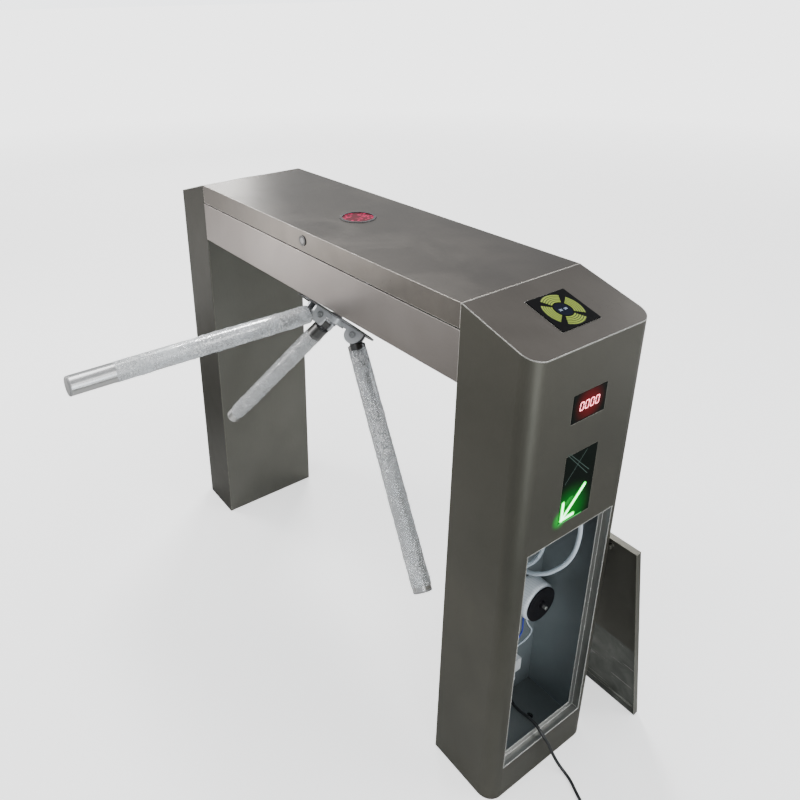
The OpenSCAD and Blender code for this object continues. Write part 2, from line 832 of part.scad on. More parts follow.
// From the direction display down into a slack loop, then up through the hole into the beam
module low_voltage_cable() {
    route = [
        [578, 25, 629], [578, 26, 621], [576, 38, 607], [574, 54, 589], [571, 66, 562], [569, 73, 530],
        [564, 75, 490], [555, 71, 456], [543, 61, 434], [527, 50, 416], [510, 43, 405],
        [496, 41, 398], [484, 43, 393], [476, 50, 390], [473, 63, 388], [473, 78, 387],
        [472, 94, 391], [471, 106, 404], [470, 112, 426], [469, 112, 460], [468, 108, 530],
        [467, 96, 640], [467, 78, 760], [466, 66, 840], [462, 61, 888], [452, 60, 903],
        [436, 60, 905]
    ];
    color([0.75, 0.78, 0.8]) tube(smooth(route, 3), 4.2, 10, unit([1, 1, -1]));
}

module blue_wire() {
    route = [
        [474, 66, 258], [474, 68, 226], [472, 70, 204], [470, 63, 186], [468, 59, 164],
        [468, 59, 148], [468, 59, 135]
    ];
    color([0.2, 0.25, 0.7]) tube(smooth(route, 4), 1.6, 8, [1, 0, 0]);
}

module white_wire() {
    route = [
        [481, 62, 260], [486, 70, 236], [487, 81, 216], [485, 78, 200], [481, 67, 186],
        [476, 57, 176], [472, 43, 162], [470, 33, 151], [470, 29, 141]
    ];
    color([0.9, 0.9, 0.92]) tube(smooth(route, 4), 1.6, 8, [1, 0, 0]);
}

// Gland on the inner panel with a tapered strain relief
module cord_gland() {
    color([0.1, 0.1, 0.1]) translate([gland_c[0], gland_c[1], gland_c[2]]) rotate([0, 90, 0]) {
        cylinder(r = 11, h = 5, $fn = 6);
        cylinder(r = 9, h = 8);
        translate([0, 0, 8]) cylinder(r1 = 7, r2 = cord_d / 2 + 1, h = gland_tip - gland_c[0] - 8);
    }
}

module power_cord() {
    color([0.05, 0.05, 0.05]) tube(smooth(CORD, 2), cord_d / 2, 10, [0, 0, 1]);
}

module cord_coil() {
    mid = coil_mean_r;
    half = coil_turns_wide * cord_d / 2;
    color([0.05, 0.05, 0.05]) translate([coil_c[0], coil_c[1], 0]) rotate_extrude($fn = 96)
        translate([mid - half, 0]) square([2 * half, coil_turns_high * cord_d]);
}

// Plug lying beside the coil: tapered tail, body and three flat pins
module power_plug() {
    tail = 26;
    body = [34, 30, 21];
    color([0.06, 0.06, 0.06]) translate(plug_at) rotate([0, 0, plug_turn]) {
        rotate([0, 90, 0]) cylinder(r1 = cord_d / 2 + 0.6, r2 = 7, h = tail);
        translate([tail, -body[1] / 2 + 4, -body[2] / 2]) cube([body[0], body[1] - 8, body[2]]);
        translate([tail + 5, -body[1] / 2, -body[2] / 2]) cube([body[0] - 5, body[1], body[2]]);
        translate([tail + body[0], -7.5, -4]) cube([17, 1.5, 6]);
        translate([tail + body[0], 6, -4]) cube([17, 1.5, 6]);
        translate([tail + body[0], -3, 4]) cube([17, 6, 1.5]);
    }
}

// ---- bay covers ----

// Cover with its outer face at y = 0, standing on z = 0, folded rim towards -Y
module cover_panel() {
    difference() {
        translate([0, -rim, 0]) cube([cover_w, rim, cover_h]);
        translate([frame_t, -rim - 1, frame_t]) cube([cover_w - 2 * frame_t, rim + 1 - frame_t, cover_h - 2 * frame_t]);
    }
    for (x = [-1, 1]) translate([cover_w / 2 + x * stud_y, 0, cover_h - stud_drop]) {
        rod_y(-10, -frame_t, 5);
        rod_y(0, 1.2, 8);
    }
}

// The right cover, taken off and leaning on the back of its pedestal
module removed_cover() {
    gap = 0.3;
    low = rim * sin(cover_lean);
    top_y = half_w + gap + cover_h * sin(cover_lean) + rim * cos(cover_lean);
    color([0.35, 0.36, 0.33]) translate([cover_right_x - cover_w, top_y, low]) rotate([cover_lean, 0, 0])
        cover_panel();
}

module fitted_cover() {
    color([0.4, 0.4, 0.37]) translate([-end_x, -cover_w / 2, bay_z + 1]) rotate([0, 0, 90])
        cover_panel();
}

right_pedestal_shell();
left_pedestal_shell();
right_inner_panel();
left_inner_panel();
right_door_frame();
left_door_frame();
slope_panels();
right_base_plate();
left_base_plate();
beam_tray();
beam_bolts();
lid_hinge_leaves();
reader_windows();
reader_modules();
counter_window();
counter_display();
direction_windows();
direction_displays();
drive_frame();
drive_frame_bolts();
head_housing();
spindle_bearings();
lock_pawls();
lock_solenoids();
rotary_damper();
position_sensor();
control_board();
transformer();
transformer_clamp();
circuit_breaker();
din_rail();
terminal_block();
low_voltage_cable();
blue_wire();
white_wire();
cord_gland();
power_cord();
cord_coil();
power_plug();
spindle();
index_cam();
hub_disc();
hub_casting();
hub_fasteners();
left_arm();
right_arm();
lower_arm_caps();
lower_arm_films();
drop_arm_tube();
drop_arm_cap();
drop_arm_film();
lid();
lid_hinge_flaps();
lamp_ring();
lamp_lens();
lamp_board();
lid_lock_body();
lid_lock_plug();
removed_cover();
fitted_cover();
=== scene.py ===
"""Looks for the visitor counter turnstile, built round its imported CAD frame. Units are metres."""
import json
import math

import bmesh
import bpy
from mathutils import Matrix, Vector, noise


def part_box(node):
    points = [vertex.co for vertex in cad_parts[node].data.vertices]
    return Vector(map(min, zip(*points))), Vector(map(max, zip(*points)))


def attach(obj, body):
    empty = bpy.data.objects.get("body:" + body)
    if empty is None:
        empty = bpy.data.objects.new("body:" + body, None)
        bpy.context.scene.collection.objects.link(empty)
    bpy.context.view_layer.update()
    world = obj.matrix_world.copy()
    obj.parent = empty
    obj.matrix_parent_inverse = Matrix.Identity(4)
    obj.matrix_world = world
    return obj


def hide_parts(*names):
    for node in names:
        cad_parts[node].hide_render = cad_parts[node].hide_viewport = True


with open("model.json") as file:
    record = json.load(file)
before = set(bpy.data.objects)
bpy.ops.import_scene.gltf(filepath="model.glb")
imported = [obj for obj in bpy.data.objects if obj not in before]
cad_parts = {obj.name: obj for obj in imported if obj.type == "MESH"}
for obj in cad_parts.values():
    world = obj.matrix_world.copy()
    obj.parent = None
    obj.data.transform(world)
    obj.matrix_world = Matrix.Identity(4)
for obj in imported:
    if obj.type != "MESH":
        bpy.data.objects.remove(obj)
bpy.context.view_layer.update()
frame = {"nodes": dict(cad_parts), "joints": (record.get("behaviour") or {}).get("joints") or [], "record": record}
nodes = frame["nodes"]
joints = {j["name"]: j for j in frame["joints"]}
scene = bpy.context.scene


# ---- camera ----

CAMERA_AT = Vector((1.1881, -0.8908, 1.4596))
CAMERA_AZIMUTH = math.radians(56.457)
CAMERA_ELEVATION = math.radians(23.541)
CAMERA_ROLL = math.radians(-1.433)
CAMERA_LENS = 33.17
CAMERA_SENSOR = 36
CAMERA_SHIFT = (0.10125, -0.125)
CAMERA_CLIP = (0.05, 50)


def make_camera():
    data = bpy.data.cameras.new("camera")
    data.lens = CAMERA_LENS
    data.sensor_width = CAMERA_SENSOR
    data.shift_x, data.shift_y = CAMERA_SHIFT
    data.clip_start, data.clip_end = CAMERA_CLIP
    camera = bpy.data.objects.new("camera", data)
    scene.collection.objects.link(camera)
    flat = math.cos(CAMERA_ELEVATION)
    back_x, back_y = math.sin(CAMERA_AZIMUTH) * flat, -math.cos(CAMERA_AZIMUTH) * flat
    back = Vector((back_x, back_y, math.sin(CAMERA_ELEVATION)))
    right = (-back).cross(Vector((0, 0, 1))).normalized()
    up = right.cross(-back)
    c, s = math.cos(CAMERA_ROLL), math.sin(CAMERA_ROLL)
    rolled_right = right * c + up * s
    rolled_up = up * c - right * s
    turn = Matrix((rolled_right, rolled_up, back)).transposed().to_4x4()
    camera.matrix_world = Matrix.Translation(CAMERA_AT) @ turn
    scene.camera = camera


# ---- node helpers for materials ----


class Nodes:
    """A material's node tree with short calls for what the looks need."""

    def __init__(self, name):
        self.material = bpy.data.materials.new(name)
        self.material.use_nodes = True
        self.tree = self.material.node_tree
        self.shader = self.tree.nodes["Principled BSDF"]
        self.output = self.tree.nodes["Material Output"]
        self.place = self.add("ShaderNodeTexCoord").outputs["Object"]

    def add(self, kind, **values):
        made = self.tree.nodes.new(kind)
        for key, value in values.items():
            setattr(made, key, value)
        return made

    def link(self, out, into):
        self.tree.links.new(out, into)
        return out

    def put(self, made, name, value):
        socket = made.inputs[name]
        if hasattr(value, "links"):
            self.link(value, socket)
        else:
            socket.default_value = value
        return made

    def noise(self, scale, stretch=(1, 1, 1), detail=4, rough=0.55, distort=0.0):
        mapping = self.add("ShaderNodeMapping")
        self.link(self.place, mapping.inputs["Vector"])
        mapping.inputs["Scale"].default_value = stretch
        made = self.add("ShaderNodeTexNoise")
        self.link(mapping.outputs["Vector"], made.inputs["Vector"])
        made.inputs["Scale"].default_value = scale
        made.inputs["Detail"].default_value = detail
        made.inputs["Roughness"].default_value = rough
        made.inputs["Distortion"].default_value = distort
        return made.outputs["Fac"]

    def ramp(self, value, stops):
        made = self.add("ShaderNodeValToRGB")
        self.link(value, made.inputs["Fac"])
        ramp = made.color_ramp
        while len(ramp.elements) < len(stops):
            ramp.elements.new(0.5)
        for element, (at, colour) in zip(ramp.elements, stops):
            element.position = at
            element.color = (*colour, 1) if hasattr(colour, "__len__") else (colour, colour, colour, 1)
        return made.outputs["Color"]

    def mix(self, factor, a, b, blend="MIX"):
        made = self.add("ShaderNodeMix", data_type="RGBA", blend_type=blend)
        for index, value in ((0, factor), (6, a), (7, b)):
            socket = made.inputs[index]
            if hasattr(value, "links"):
                self.link(value, socket)
            elif index:
                socket.default_value = (*value, 1)
            else:
                socket.default_value = value
        return made.outputs[2]

    def math(self, operation, a, b=0.0):
        made = self.add("ShaderNodeMath", operation=operation)
        for index, value in enumerate((a, b)):
            if hasattr(value, "links"):
                self.link(value, made.inputs[index])
            else:
                made.inputs[index].default_value = value
        return made.outputs[0]

    def bump(self, height, strength, distance, normal=None):
        made = self.add("ShaderNodeBump")
        made.inputs["Strength"].default_value = strength
        made.inputs["Distance"].default_value = distance
        self.link(height, made.inputs["Height"])
        if normal is not None:
            self.link(normal, made.inputs["Normal"])
        return made.outputs["Normal"]

    def bevel(self, radius):
        made = self.add("ShaderNodeBevel", samples=4)
        made.inputs["Radius"].default_value = radius
        return made.outputs["Normal"]

    def facing(self):
        """The surface's own normal, split into x, y and z."""
        made = self.add("ShaderNodeSeparateXYZ")
        self.link(self.add("ShaderNodeTexCoord").outputs["Normal"], made.inputs[0])
        return made

    def finish(self, **values):
        for key, value in values.items():
            self.put(self.shader, key.replace("_", " "), value)
        return self.material


def shade(colour, factor):
    return tuple(min(1.0, c * factor) for c in colour)


# Pedestal outline: centre and radius of its rounded corners, its inner face, and just inside its sheet.
LEG_CORNER_X, LEG_CORNER_Y, LEG_CORNER_R = 0.570, 0.110, 0.030
LEG_INNER_X, SKIN = 0.450, 0.0011
# The lining's brightness at heights in the bay: light reaches its lower end and not its upper one.
BAY_DEPTH = [(0.08, 1.0), (0.30, 0.66), (0.56, 0.22)]
# Radius of the rounded normal at folds, and how far it leans where the painted highlight along edges starts and is
# full.
FOLD_RADIUS = 0.0016
EDGE_HIGHLIGHT_STARTS, EDGE_HIGHLIGHT_FULL = 0.03, 0.12
# Distance from the spindle over which the painted shade on an arm's root fades, and how dark that shade is.
ROOT_FADE, ROOT_SHADE = [(0.125, 1.0), (0.175, 0.0)], 0.16
STREAK_DEPTH, SMUDGE_ROUGHNESS = 0.12, 0.07


def bay_mask(n):
    """1 on surfaces inside either pedestal's skin, 0 outside."""
    spot = n.add("ShaderNodeSeparateXYZ")
    n.link(n.place, spot.inputs[0])
    x, y = (n.math("ABSOLUTE", spot.outputs[k]) for k in (0, 1))
    past_x = n.math("MAXIMUM", n.math("SUBTRACT", x, LEG_CORNER_X), 0.0)
    past_y = n.math("MAXIMUM", n.math("SUBTRACT", y, LEG_CORNER_Y), 0.0)
    reach = n.math("SQRT", n.math("ADD", n.math("POWER", past_x, 2.0), n.math("POWER", past_y, 2.0)))
    near = n.math("LESS_THAN", reach, LEG_CORNER_R - SKIN)
    return n.math("MULTIPLY", near, n.math("GREATER_THAN", x, LEG_INNER_X + SKIN))


def edge_mask(n, rounded):
    """1 where the rounded normal leans away from the flat one, so along folds and cut edges."""
    flat = n.add("ShaderNodeNewGeometry").outputs["True Normal"]
    dot = n.add("ShaderNodeVectorMath", operation="DOT_PRODUCT")
    n.link(flat, dot.inputs[0])
    n.link(rounded, dot.inputs[1])
    lean = n.math("SUBTRACT", 1.0, dot.outputs["Value"])
    return n.ramp(lean, [(EDGE_HIGHLIGHT_STARTS, 0.0), (EDGE_HIGHLIGHT_FULL, 1.0)])


def steel(name, colour, grain, rough, metallic, tint=None, bay=None, shine=1.7, root=None, front=None):
    """Brushed stainless: fine streaks stretched by `grain`, cloudy tints, smudges and edges brightened as a
    painted highlight.

    bay: colour inside the pedestals. shine: how much brighter the painted highlight along edges is. root: centre
    of the hub; the steel near it gets painted shade. front: painted light, how much brighter the side facing -Y
    is.
    """
    n = Nodes(name)
    fine = n.noise(55, grain, detail=6, rough=0.7)
    broad = n.noise(3.2, (1, 1, 1), detail=3)
    patch = n.noise(9, (1, 1, 0.6), detail=5, distort=0.6)
    other = tint or shade(colour, 0.8)
    base = n.mix(n.ramp(broad, [(0.35, 0.0), (0.65, 1.0)]), colour, other)
    streaks = n.ramp(fine, [(0.3, 1.0 - STREAK_DEPTH), (0.7, 1.0)])
    base = n.mix(1.0, base, streaks, "MULTIPLY")
    rounded = n.bevel(FOLD_RADIUS)
    # Painted highlight along folds and cut edges: lighter colour and less metal there, so they look lit.
    edge_highlight = edge_mask(n, rounded)
    base = n.mix(n.math("MULTIPLY", edge_highlight, 0.9), base, shade(colour, shine))
    metal = n.math("SUBTRACT", metallic, n.math("MULTIPLY", edge_highlight, metallic * 0.6))
    # Painted shade: the steel darkens towards the hub.
    if root:
        away = n.add("ShaderNodeVectorMath", operation="DISTANCE")
        n.link(n.place, away.inputs[0])
        away.inputs[1].default_value = root
        base = n.mix(n.ramp(away.outputs["Value"], ROOT_FADE), base, shade(colour, ROOT_SHADE))
    # Painted light: the side facing -Y is made brighter.
    if front:
        facing = n.math("LESS_THAN", n.facing().outputs[1], -0.5)
        base = n.mix(facing, base, n.mix(1.0, base, (front, front, front), "MULTIPLY"))
    marks = n.ramp(patch, [(0.45, 0.0), (0.75, 1.0)])
    roughness = n.math("ADD", n.math("MULTIPLY", marks, SMUDGE_ROUGHNESS), rough)
    roughness = n.math("ADD", roughness, n.math("MULTIPLY", fine, 0.10))
    if bay:
        inside = bay_mask(n)
        spot = n.add("ShaderNodeSeparateXYZ")
        n.link(n.place, spot.inputs[0])
        deep = n.ramp(spot.outputs[2], BAY_DEPTH)
        dull = n.mix(n.ramp(broad, [(0.4, 0.0), (0.6, 1.0)]), bay, shade(bay, 0.8))
        base = n.mix(inside, base, n.mix(1.0, dull, deep, "MULTIPLY"))
        metal = n.math("SUBTRACT", metal, n.math("MULTIPLY", inside, metallic - 0.35))
    normal = n.bump(fine, 0.10, 0.0004, rounded)
    normal = n.bump(broad, 0.05, 0.004, normal)
    return n.finish(Base_Color=base, Metallic=metal, Roughness=roughness, Normal=normal)


DUSTY, DUSTIEST = (0.085, 0.090, 0.080), (0.15, 0.155, 0.14)
SCRATCH = (0.62, 0.62, 0.58)


def smudged_steel(name, colour, line):
    """The loose cover: brushed steel whose -Y side is dusty, greyer and scratched below a height."""
    n = Nodes(name)
    spot = n.add("ShaderNodeSeparateXYZ")
    n.link(n.place, spot.inputs[0])
    cloud = n.noise(22, detail=5, distort=1.0)
    fine = n.noise(55, (30, 30, 1), detail=5)
    height = n.math("ADD", spot.outputs[2], n.math("MULTIPLY", cloud, 0.02))
    below = n.math("LESS_THAN", height, line)
    below = n.math("MULTIPLY", below, n.math("LESS_THAN", n.facing().outputs[1], 0.0))
    dust = n.mix(n.ramp(cloud, [(0.35, 0.0), (0.7, 1.0)]), DUSTY, DUSTIEST)
    base = n.mix(below, colour, dust)
    lines = n.ramp(n.noise(9, (1, 1, 40), detail=2), [(0.665, 0.0), (0.69, 1.0)])
    base = n.mix(n.math("MULTIPLY", n.math("MULTIPLY", lines, below), 0.7), base, SCRATCH)
    rounded = n.bevel(FOLD_RADIUS)
    # Painted highlight: the rim and folds are made lighter.
    edge_highlight = edge_mask(n, rounded)
    base = n.mix(n.math("MULTIPLY", edge_highlight, 0.8), base, shade(colour, 3.2))
    metal = n.math("SUBTRACT", 0.85, n.math("MULTIPLY", below, 0.45))
    normal = n.bump(fine, 0.10, 0.0004, rounded)
    return n.finish(Base_Color=base, Metallic=metal, Roughness=0.42, Normal=normal)


def paint(name, colour, rough=0.5, metallic=0.0, scale=120, bump=0.15, vary=0.2, edge=0.0005, coat=0.0):
    """Moulded or painted surface with a fine orange-peel grain and slight colour variation."""
    n = Nodes(name)
    grain = n.noise(scale * 6, detail=3)
    broad = n.noise(scale / 8, detail=4)
    base = n.mix(n.ramp(broad, [(0.3, 0.0), (0.7, 1.0)]), shade(colour, 1 - vary), shade(colour, 1 + vary))
    roughness = n.math("ADD", n.math("MULTIPLY", broad, 0.2), rough - 0.1)
    normal = n.bump(grain, bump, 0.0002, n.bevel(edge))
    return n.finish(Base_Color=base, Metallic=metallic, Roughness=roughness, Normal=normal, Coat_Weight=coat)


def dark_window(name, colour=(0.0017, 0.0017, 0.0020)):
    """Smoked acrylic, kept dark with a weak soft sheen."""
    n = Nodes(name)
    grain = n.noise(12, detail=3)
    tone = n.mix(grain, shade(colour, 0.6), shade(colour, 1.4))
    return n.finish(Base_Color=tone, Roughness=0.4, Specular_IOR_Level=0.06)


def glow(name, colour, strength, core=None):
    """A lit surface, slightly uneven as lamps behind a window are."""
    n = Nodes(name)
    grain = n.noise(900, detail=2)
    tone = n.mix(n.ramp(grain, [(0.4, 0.0), (0.7, 1.0)]), colour, core or colour)
    dark = (*shade(colour, 0.3), 1)
    return n.finish(Base_Color=dark, Emission_Color=tone, Emission_Strength=strength, Roughness=0.4)


LAMP_REACH = 0.04
LAMPS_PER_METRE = 135


def lamp_material():
    """Lens over a cluster of red lamps: pink points, crimson between them and a dark edge."""
    n = Nodes("lamp_red")
    cells = n.add("ShaderNodeTexVoronoi", feature="SMOOTH_F1")
    n.link(n.place, cells.inputs["Vector"])
    cells.inputs["Scale"].default_value = LAMPS_PER_METRE
    cells.inputs["Smoothness"].default_value = 0.25
    spots = n.ramp(cells.outputs["Distance"], [(0.26, 1.0), (0.52, 0.0)])
    tone = n.mix(spots, (0.60, 0.0, 0.04), (1.0, 0.0, 0.17))
    flat = n.add("ShaderNodeSeparateXYZ")
    n.link(n.place, flat.inputs[0])
    across, along = (n.math("POWER", flat.outputs[k], 2.0) for k in (0, 1))
    reach = n.math("SQRT", n.math("ADD", across, along))
    rim = n.ramp(n.math("MULTIPLY", reach, 1 / LAMP_REACH), [(0.78, 1.0), (0.90, 0.0)])
    power = n.math("MULTIPLY", n.math("ADD", n.math("MULTIPLY", spots, 0.78), 0.10), rim)
    return n.finish(
        Base_Color=(0.05, 0.002, 0.008, 1), Emission_Color=tone, Emission_Strength=power, Roughness=0.3,
        Specular_IOR_Level=0.15,
    )


def wound_tape(name, centre, turns=46):
    """White tape wound round a toroid whose axis runs along X: overlaps fan out from the centre."""
    n = Nodes(name)
    spot = n.add("ShaderNodeSeparateXYZ")
    n.link(n.place, spot.inputs[0])
    up = n.math("SUBTRACT", spot.outputs[2], centre.z)
    across = n.math("SUBTRACT", spot.outputs[1], centre.y)
    turn = n.math("MULTIPLY", n.math("ARCTAN2", up, across), turns / (2 * math.pi))
    skew = n.math("MULTIPLY", n.math("SUBTRACT", spot.outputs[0], centre.x), 14.0)
    lap = n.math("FRACT", n.math("ADD", turn, skew))
    grain = n.noise(150, detail=3)
    tone = n.mix(n.ramp(lap, [(0.0, 0.0), (0.16, 1.0)]), (0.42, 0.48, 0.55), (0.78, 0.82, 0.86))
    normal = n.bump(lap, 0.55, 0.0012)
    normal = n.bump(grain, 0.15, 0.0004, normal)
    return n.finish(Base_Color=tone, Roughness=0.34, Normal=normal, Coat_Weight=0.4)


def sleeving(name, colour):
    """Woven sleeve over a cable: a fine crossed weave that catches light."""
    n = Nodes(name)
    weave = n.add("ShaderNodeTexVoronoi")
    n.link(n.place, weave.inputs["Vector"])
    weave.inputs["Scale"].default_value = 900
    broad = n.noise(40, detail=3)
    tone = n.mix(broad, shade(colour, 0.8), shade(colour, 1.15))
    normal = n.bump(weave.outputs["Distance"], 0.35, 0.0005)
    return n.finish(Base_Color=tone, Roughness=0.35, Normal=normal, Coat_Weight=0.3)


# ---- mesh helpers ----


def piece(name, verts, faces, material, body, slot=None, smooth=False):
    mesh = bpy.data.meshes.new(name)
    mesh.from_pydata([tuple(v) for v in verts], [], faces)
    mesh.validate()
    made = bpy.data.objects.new(name, mesh)
    scene.collection.objects.link(made)
    mesh.materials.append(material)
    if smooth:
        mesh.polygons.foreach_set("use_smooth", [True] * len(mesh.polygons))
    fix_normals(made)
    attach(made, body)
    return made


def fix_normals(made):
    work = bmesh.new()
    work.from_mesh(made.data)
    bmesh.ops.recalc_face_normals(work, faces=work.faces)
    work.to_mesh(made.data)
    work.free()


class Plane:
    """A flat place in the row frame: an origin and three axes, with n pointing out of it."""

    def __init__(self, origin, right, up):
        self.origin = Vector(origin)
        self.right = Vector(right).normalized()
        self.up = Vector(up).normalized()
        self.n = self.right.cross(self.up)

    def at(self, x, y, z=0.0):
        return self.origin + self.right * x + self.up * y + self.n * z


def slabs(plane, outlines, low, high):
    """Closed slabs from flat outlines, lists of (x, y), between two heights over a plane."""
    verts, faces = [], []
    for outline in outlines:
        start, count = len(verts), len(outline)
        verts += [plane.at(x, y, low) for x, y in outline] + [plane.at(x, y, high) for x, y in outline]
        faces.append([start + k for k in range(count)][::-1])
        faces.append([start + count + k for k in range(count)])
        for k in range(count):
            m = (k + 1) % count
            faces.append([start + k, start + m, start + count + m, start + count + k])
    return verts, faces


def sweep(path, radius, sides):
    """A tube of rings about a path, with a steady frame carried along it."""
    verts, faces = [], []
    side = None
    count = len(path)
    for i, p in enumerate(path):
        ahead = path[min(i + 1, count - 1)]
        behind = path[max(i - 1, 0)]
        t = (ahead - behind).normalized()
        if side is None:
            side = t.orthogonal().normalized()
        side = (side - t * side.dot(t)).normalized()
        other = t.cross(side)
        turns = [2 * math.pi * k / sides for k in range(sides)]
        verts += [p + (side * math.cos(a) + other * math.sin(a)) * radius for a in turns]
    for i in range(count - 1):
        a, b = i * sides, (i + 1) * sides
        for k in range(sides):
            m = (k + 1) % sides
            faces.append([a + k, a + m, b + m, b + k])
    faces.append(list(range(sides))[::-1])
    faces.append([(count - 1) * sides + k for k in range(sides)])
    return verts, faces


def lathe(plane, profile, steps):
    """A solid of revolution about a plane's normal from (radius, height) points, capped at both ends."""
    verts, faces = [], []
    turns = [2 * math.pi * k / steps for k in range(steps)]
    for r, z in profile:
        verts += [plane.at(r * math.cos(a), r * math.sin(a), z) for a in turns]
    for i in range(len(profile) - 1):
        for k in range(steps):
            m = (k + 1) % steps
            faces.append([i * steps + k, i * steps + m, (i + 1) * steps + m, (i + 1) * steps + k])
    faces.append(list(range(steps))[::-1])
    faces.append([(len(profile) - 1) * steps + k for k in range(steps)])
    return verts, faces


def catmull(points, per):
    """Points along a smooth curve through given ones."""
    found = []
    for i in range(len(points) - 1):
        a, b = points[max(i - 1, 0)], points[i]
        c, d = points[i + 1], points[min(i + 2, len(points) - 1)]
        for k in range(per):
            t = k / per
            square, cube = (2 * a - 5 * b + 4 * c - d) * t * t, (3 * b - a - 3 * c + d) * t ** 3
            found.append(0.5 * (2 * b + (c - a) * t + square + cube))
    return found + [points[-1]]


def millimetres(points):
    return [Vector(p) / 1000 for p in points]


# ---- mains lead ----

CORD_D = 0.0065
LEAD_ROUTE = millimetres([
    (488, 30, 57), (496, 27.5, 57), (506, 24, 58), (518, 20, 62), (532, 15, 70), (546, 10, 80),
    (560, 5, 90), (573, 1, 97), (584, -2, 100.5), (594, -3.5, 98.5), (603, -3, 92),
    (609, 0, 83), (613, 5, 71), (615, 9, 59), (616.5, 14, 46), (619, 19, 33),
    (625, 23, 20), (634, 26, 10), (646, 27, 4.5), (660, 24, 3.25), (680, 15, 3.25),
    (700, 6.5, 3.25), (720, -1.5, 3.25), (745, -11.5, 3.25), (771.9, -22.7, 3.25),
])
COIL_TURNS_WIDE = 3
COIL_STEP = 0.17
COIL_POINTS = 48
COIL_LEAVES = math.radians(-30)


def coil_path(centre, outer, start_angle, last_angle):
    """Turns wound clockwise: inwards on the floor, then outwards on top of those, then off at a tangent."""
    radii = [outer - CORD_D * k for k in range(COIL_TURNS_WIDE)]
    turns = [(r, 0) for r in radii] + [(r, 1) for r in reversed(radii)]
    points = []
    for index, (r, layer) in enumerate(turns):
        last = index == len(turns) - 1
        following = turns[min(index + 1, len(turns) - 1)]
        span = (start_angle - last_angle) if last else 2 * math.pi
        for k in range(1, COIL_POINTS + 1):
            share = k / COIL_POINTS
            ease = 0.0 if last else max(0.0, (share - (1 - COIL_STEP)) / COIL_STEP)
            ease = ease * ease * (3 - 2 * ease)
            radius = r + (following[0] - r) * ease
            z = CORD_D * (0.5 + layer + (following[1] - layer) * ease)
            angle = start_angle - span * share
            x, y = centre.x + radius * math.cos(angle), centre.y + radius * math.sin(angle)
            points.append(Vector((x, y, z)))
    return points


def make_lead(rubber):
    low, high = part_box("cord_coil")
    centre = (low + high) / 2
    outer = (high.x - low.x) / 2 - CORD_D / 2
    entry = LEAD_ROUTE[-1]
    start = math.atan2(entry.y - centre.y, entry.x - centre.x)
    path = catmull(LEAD_ROUTE, 4) + coil_path(centre, outer, start, COIL_LEAVES)
    curve = bpy.data.curves.new("mains_lead", "CURVE")
    curve.dimensions = "3D"
    curve.bevel_depth = CORD_D / 2
    curve.bevel_resolution = 3
    curve.use_fill_caps = True
    spline = curve.splines.new("POLY")
    spline.points.add(len(path) - 1)
    for point, p in zip(spline.points, path):
        point.co = (*p, 1)
    lead = bpy.data.objects.new("mains_lead", curve)
    scene.collection.objects.link(lead)
    curve.materials.append(rubber)
    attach(lead, "cabinet")
    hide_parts("power_cord", "cord_coil")


# ---- cable and wires in the bay ----

CABLE_ROUTE = millimetres([
    (578, 25, 629), (578, 26, 621), (576, 38, 607), (574, 54, 589), (571, 66, 562), (569, 73, 530),
    (564, 75, 490), (555, 71, 456), (543, 61, 434), (527, 50, 416), (510, 43, 405),
    (496, 41, 398), (484, 43, 393), (476, 50, 390), (473, 63, 388), (473, 78, 387),
    (472, 94, 391), (471, 106, 404), (470, 112, 426), (469, 112, 460), (468, 108, 530),
    (467, 96, 640), (467, 78, 760), (466, 66, 840), (462, 61, 888), (452, 60, 903), (436, 60, 905),
])
BLUE_ROUTE = millimetres([
    (474, 66, 258), (474, 68, 226), (472, 70, 204), (470, 63, 186), (468, 59, 164), (468, 59, 148),
    (468, 59, 135),
])
WHITE_ROUTE = millimetres([
    (481, 62, 260), (486, 70, 236), (487, 81, 216), (485, 78, 200), (481, 67, 186), (476, 57, 176),
    (472, 43, 162), (470, 33, 151), (470, 29, 141),
])


CLAMP_BOLT = [(0.0042, -0.0062), (0.0042, 0.0002), (0.0034, 0.0008), (0.0002, 0.0008)]


def make_clamp_bolt():
    """Bright chamfered end of the bolt through the transformer."""
    low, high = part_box("transformer_clamp")
    face = Plane((high.x, (low.y + high.y) / 2, (low.z + high.z) / 2), (0, 1, 0), (0, 0, 1))
    verts, faces = lathe(face, CLAMP_BOLT, 24)
    piece("clamp_bolt_end", verts, faces, LOOKS["zinc_fasteners"], "cabinet", "zinc_fasteners")


def make_wiring():
    runs = (
        ("sleeved_cable", CABLE_ROUTE, 0.0042, "white_sleeving", "low_voltage_cable"),
        ("blue_winding_lead", BLUE_ROUTE, 0.0016, "blue_insulation", "blue_wire"),
        ("white_winding_lead", WHITE_ROUTE, 0.0016, "white_sleeving", "white_wire"),
    )
    for name, route, radius, slot, node in runs:
        made = piece(name, *sweep(catmull(route, 8), radius, 20), LOOKS[slot], "cabinet", slot, smooth=True)
        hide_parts(node)


# ---- packing film ----

FILM_RING, FILM_SIDES = 0.0016, 96
FILM_LIFT, FILM_ENDS_LIFT, FILM_THICKNESS = 0.0003, 0.0002, 0.00012
# Where the film starts and ends on the two lower arms, from the arms' meeting point.
FILM_SPANS = {1: ("film_on_left_arm", 0.135, 0.573), 2: ("film_on_right_arm", 0.109, 0.591)}
TAIL_OVERLAP, TAIL_LENGTH = 0.006, 0.150
# The overlap stands up at each band's edge and falls away, and the band rises towards the next one.
LAP_RISE, LAP_SHARPNESS, BAND_RISE = 0.0007, 9, 0.00025
CREASE_ROUND, CREASE_ALONG, CREASE_TWIST, CREASE_SHARE, SLACK_SHARE = 2.2, 42, 0.9, 0.42, 0.50
END_TAPER, RAG_DEPTH, RAG_REACH = 0.004, 0.004, 0.02


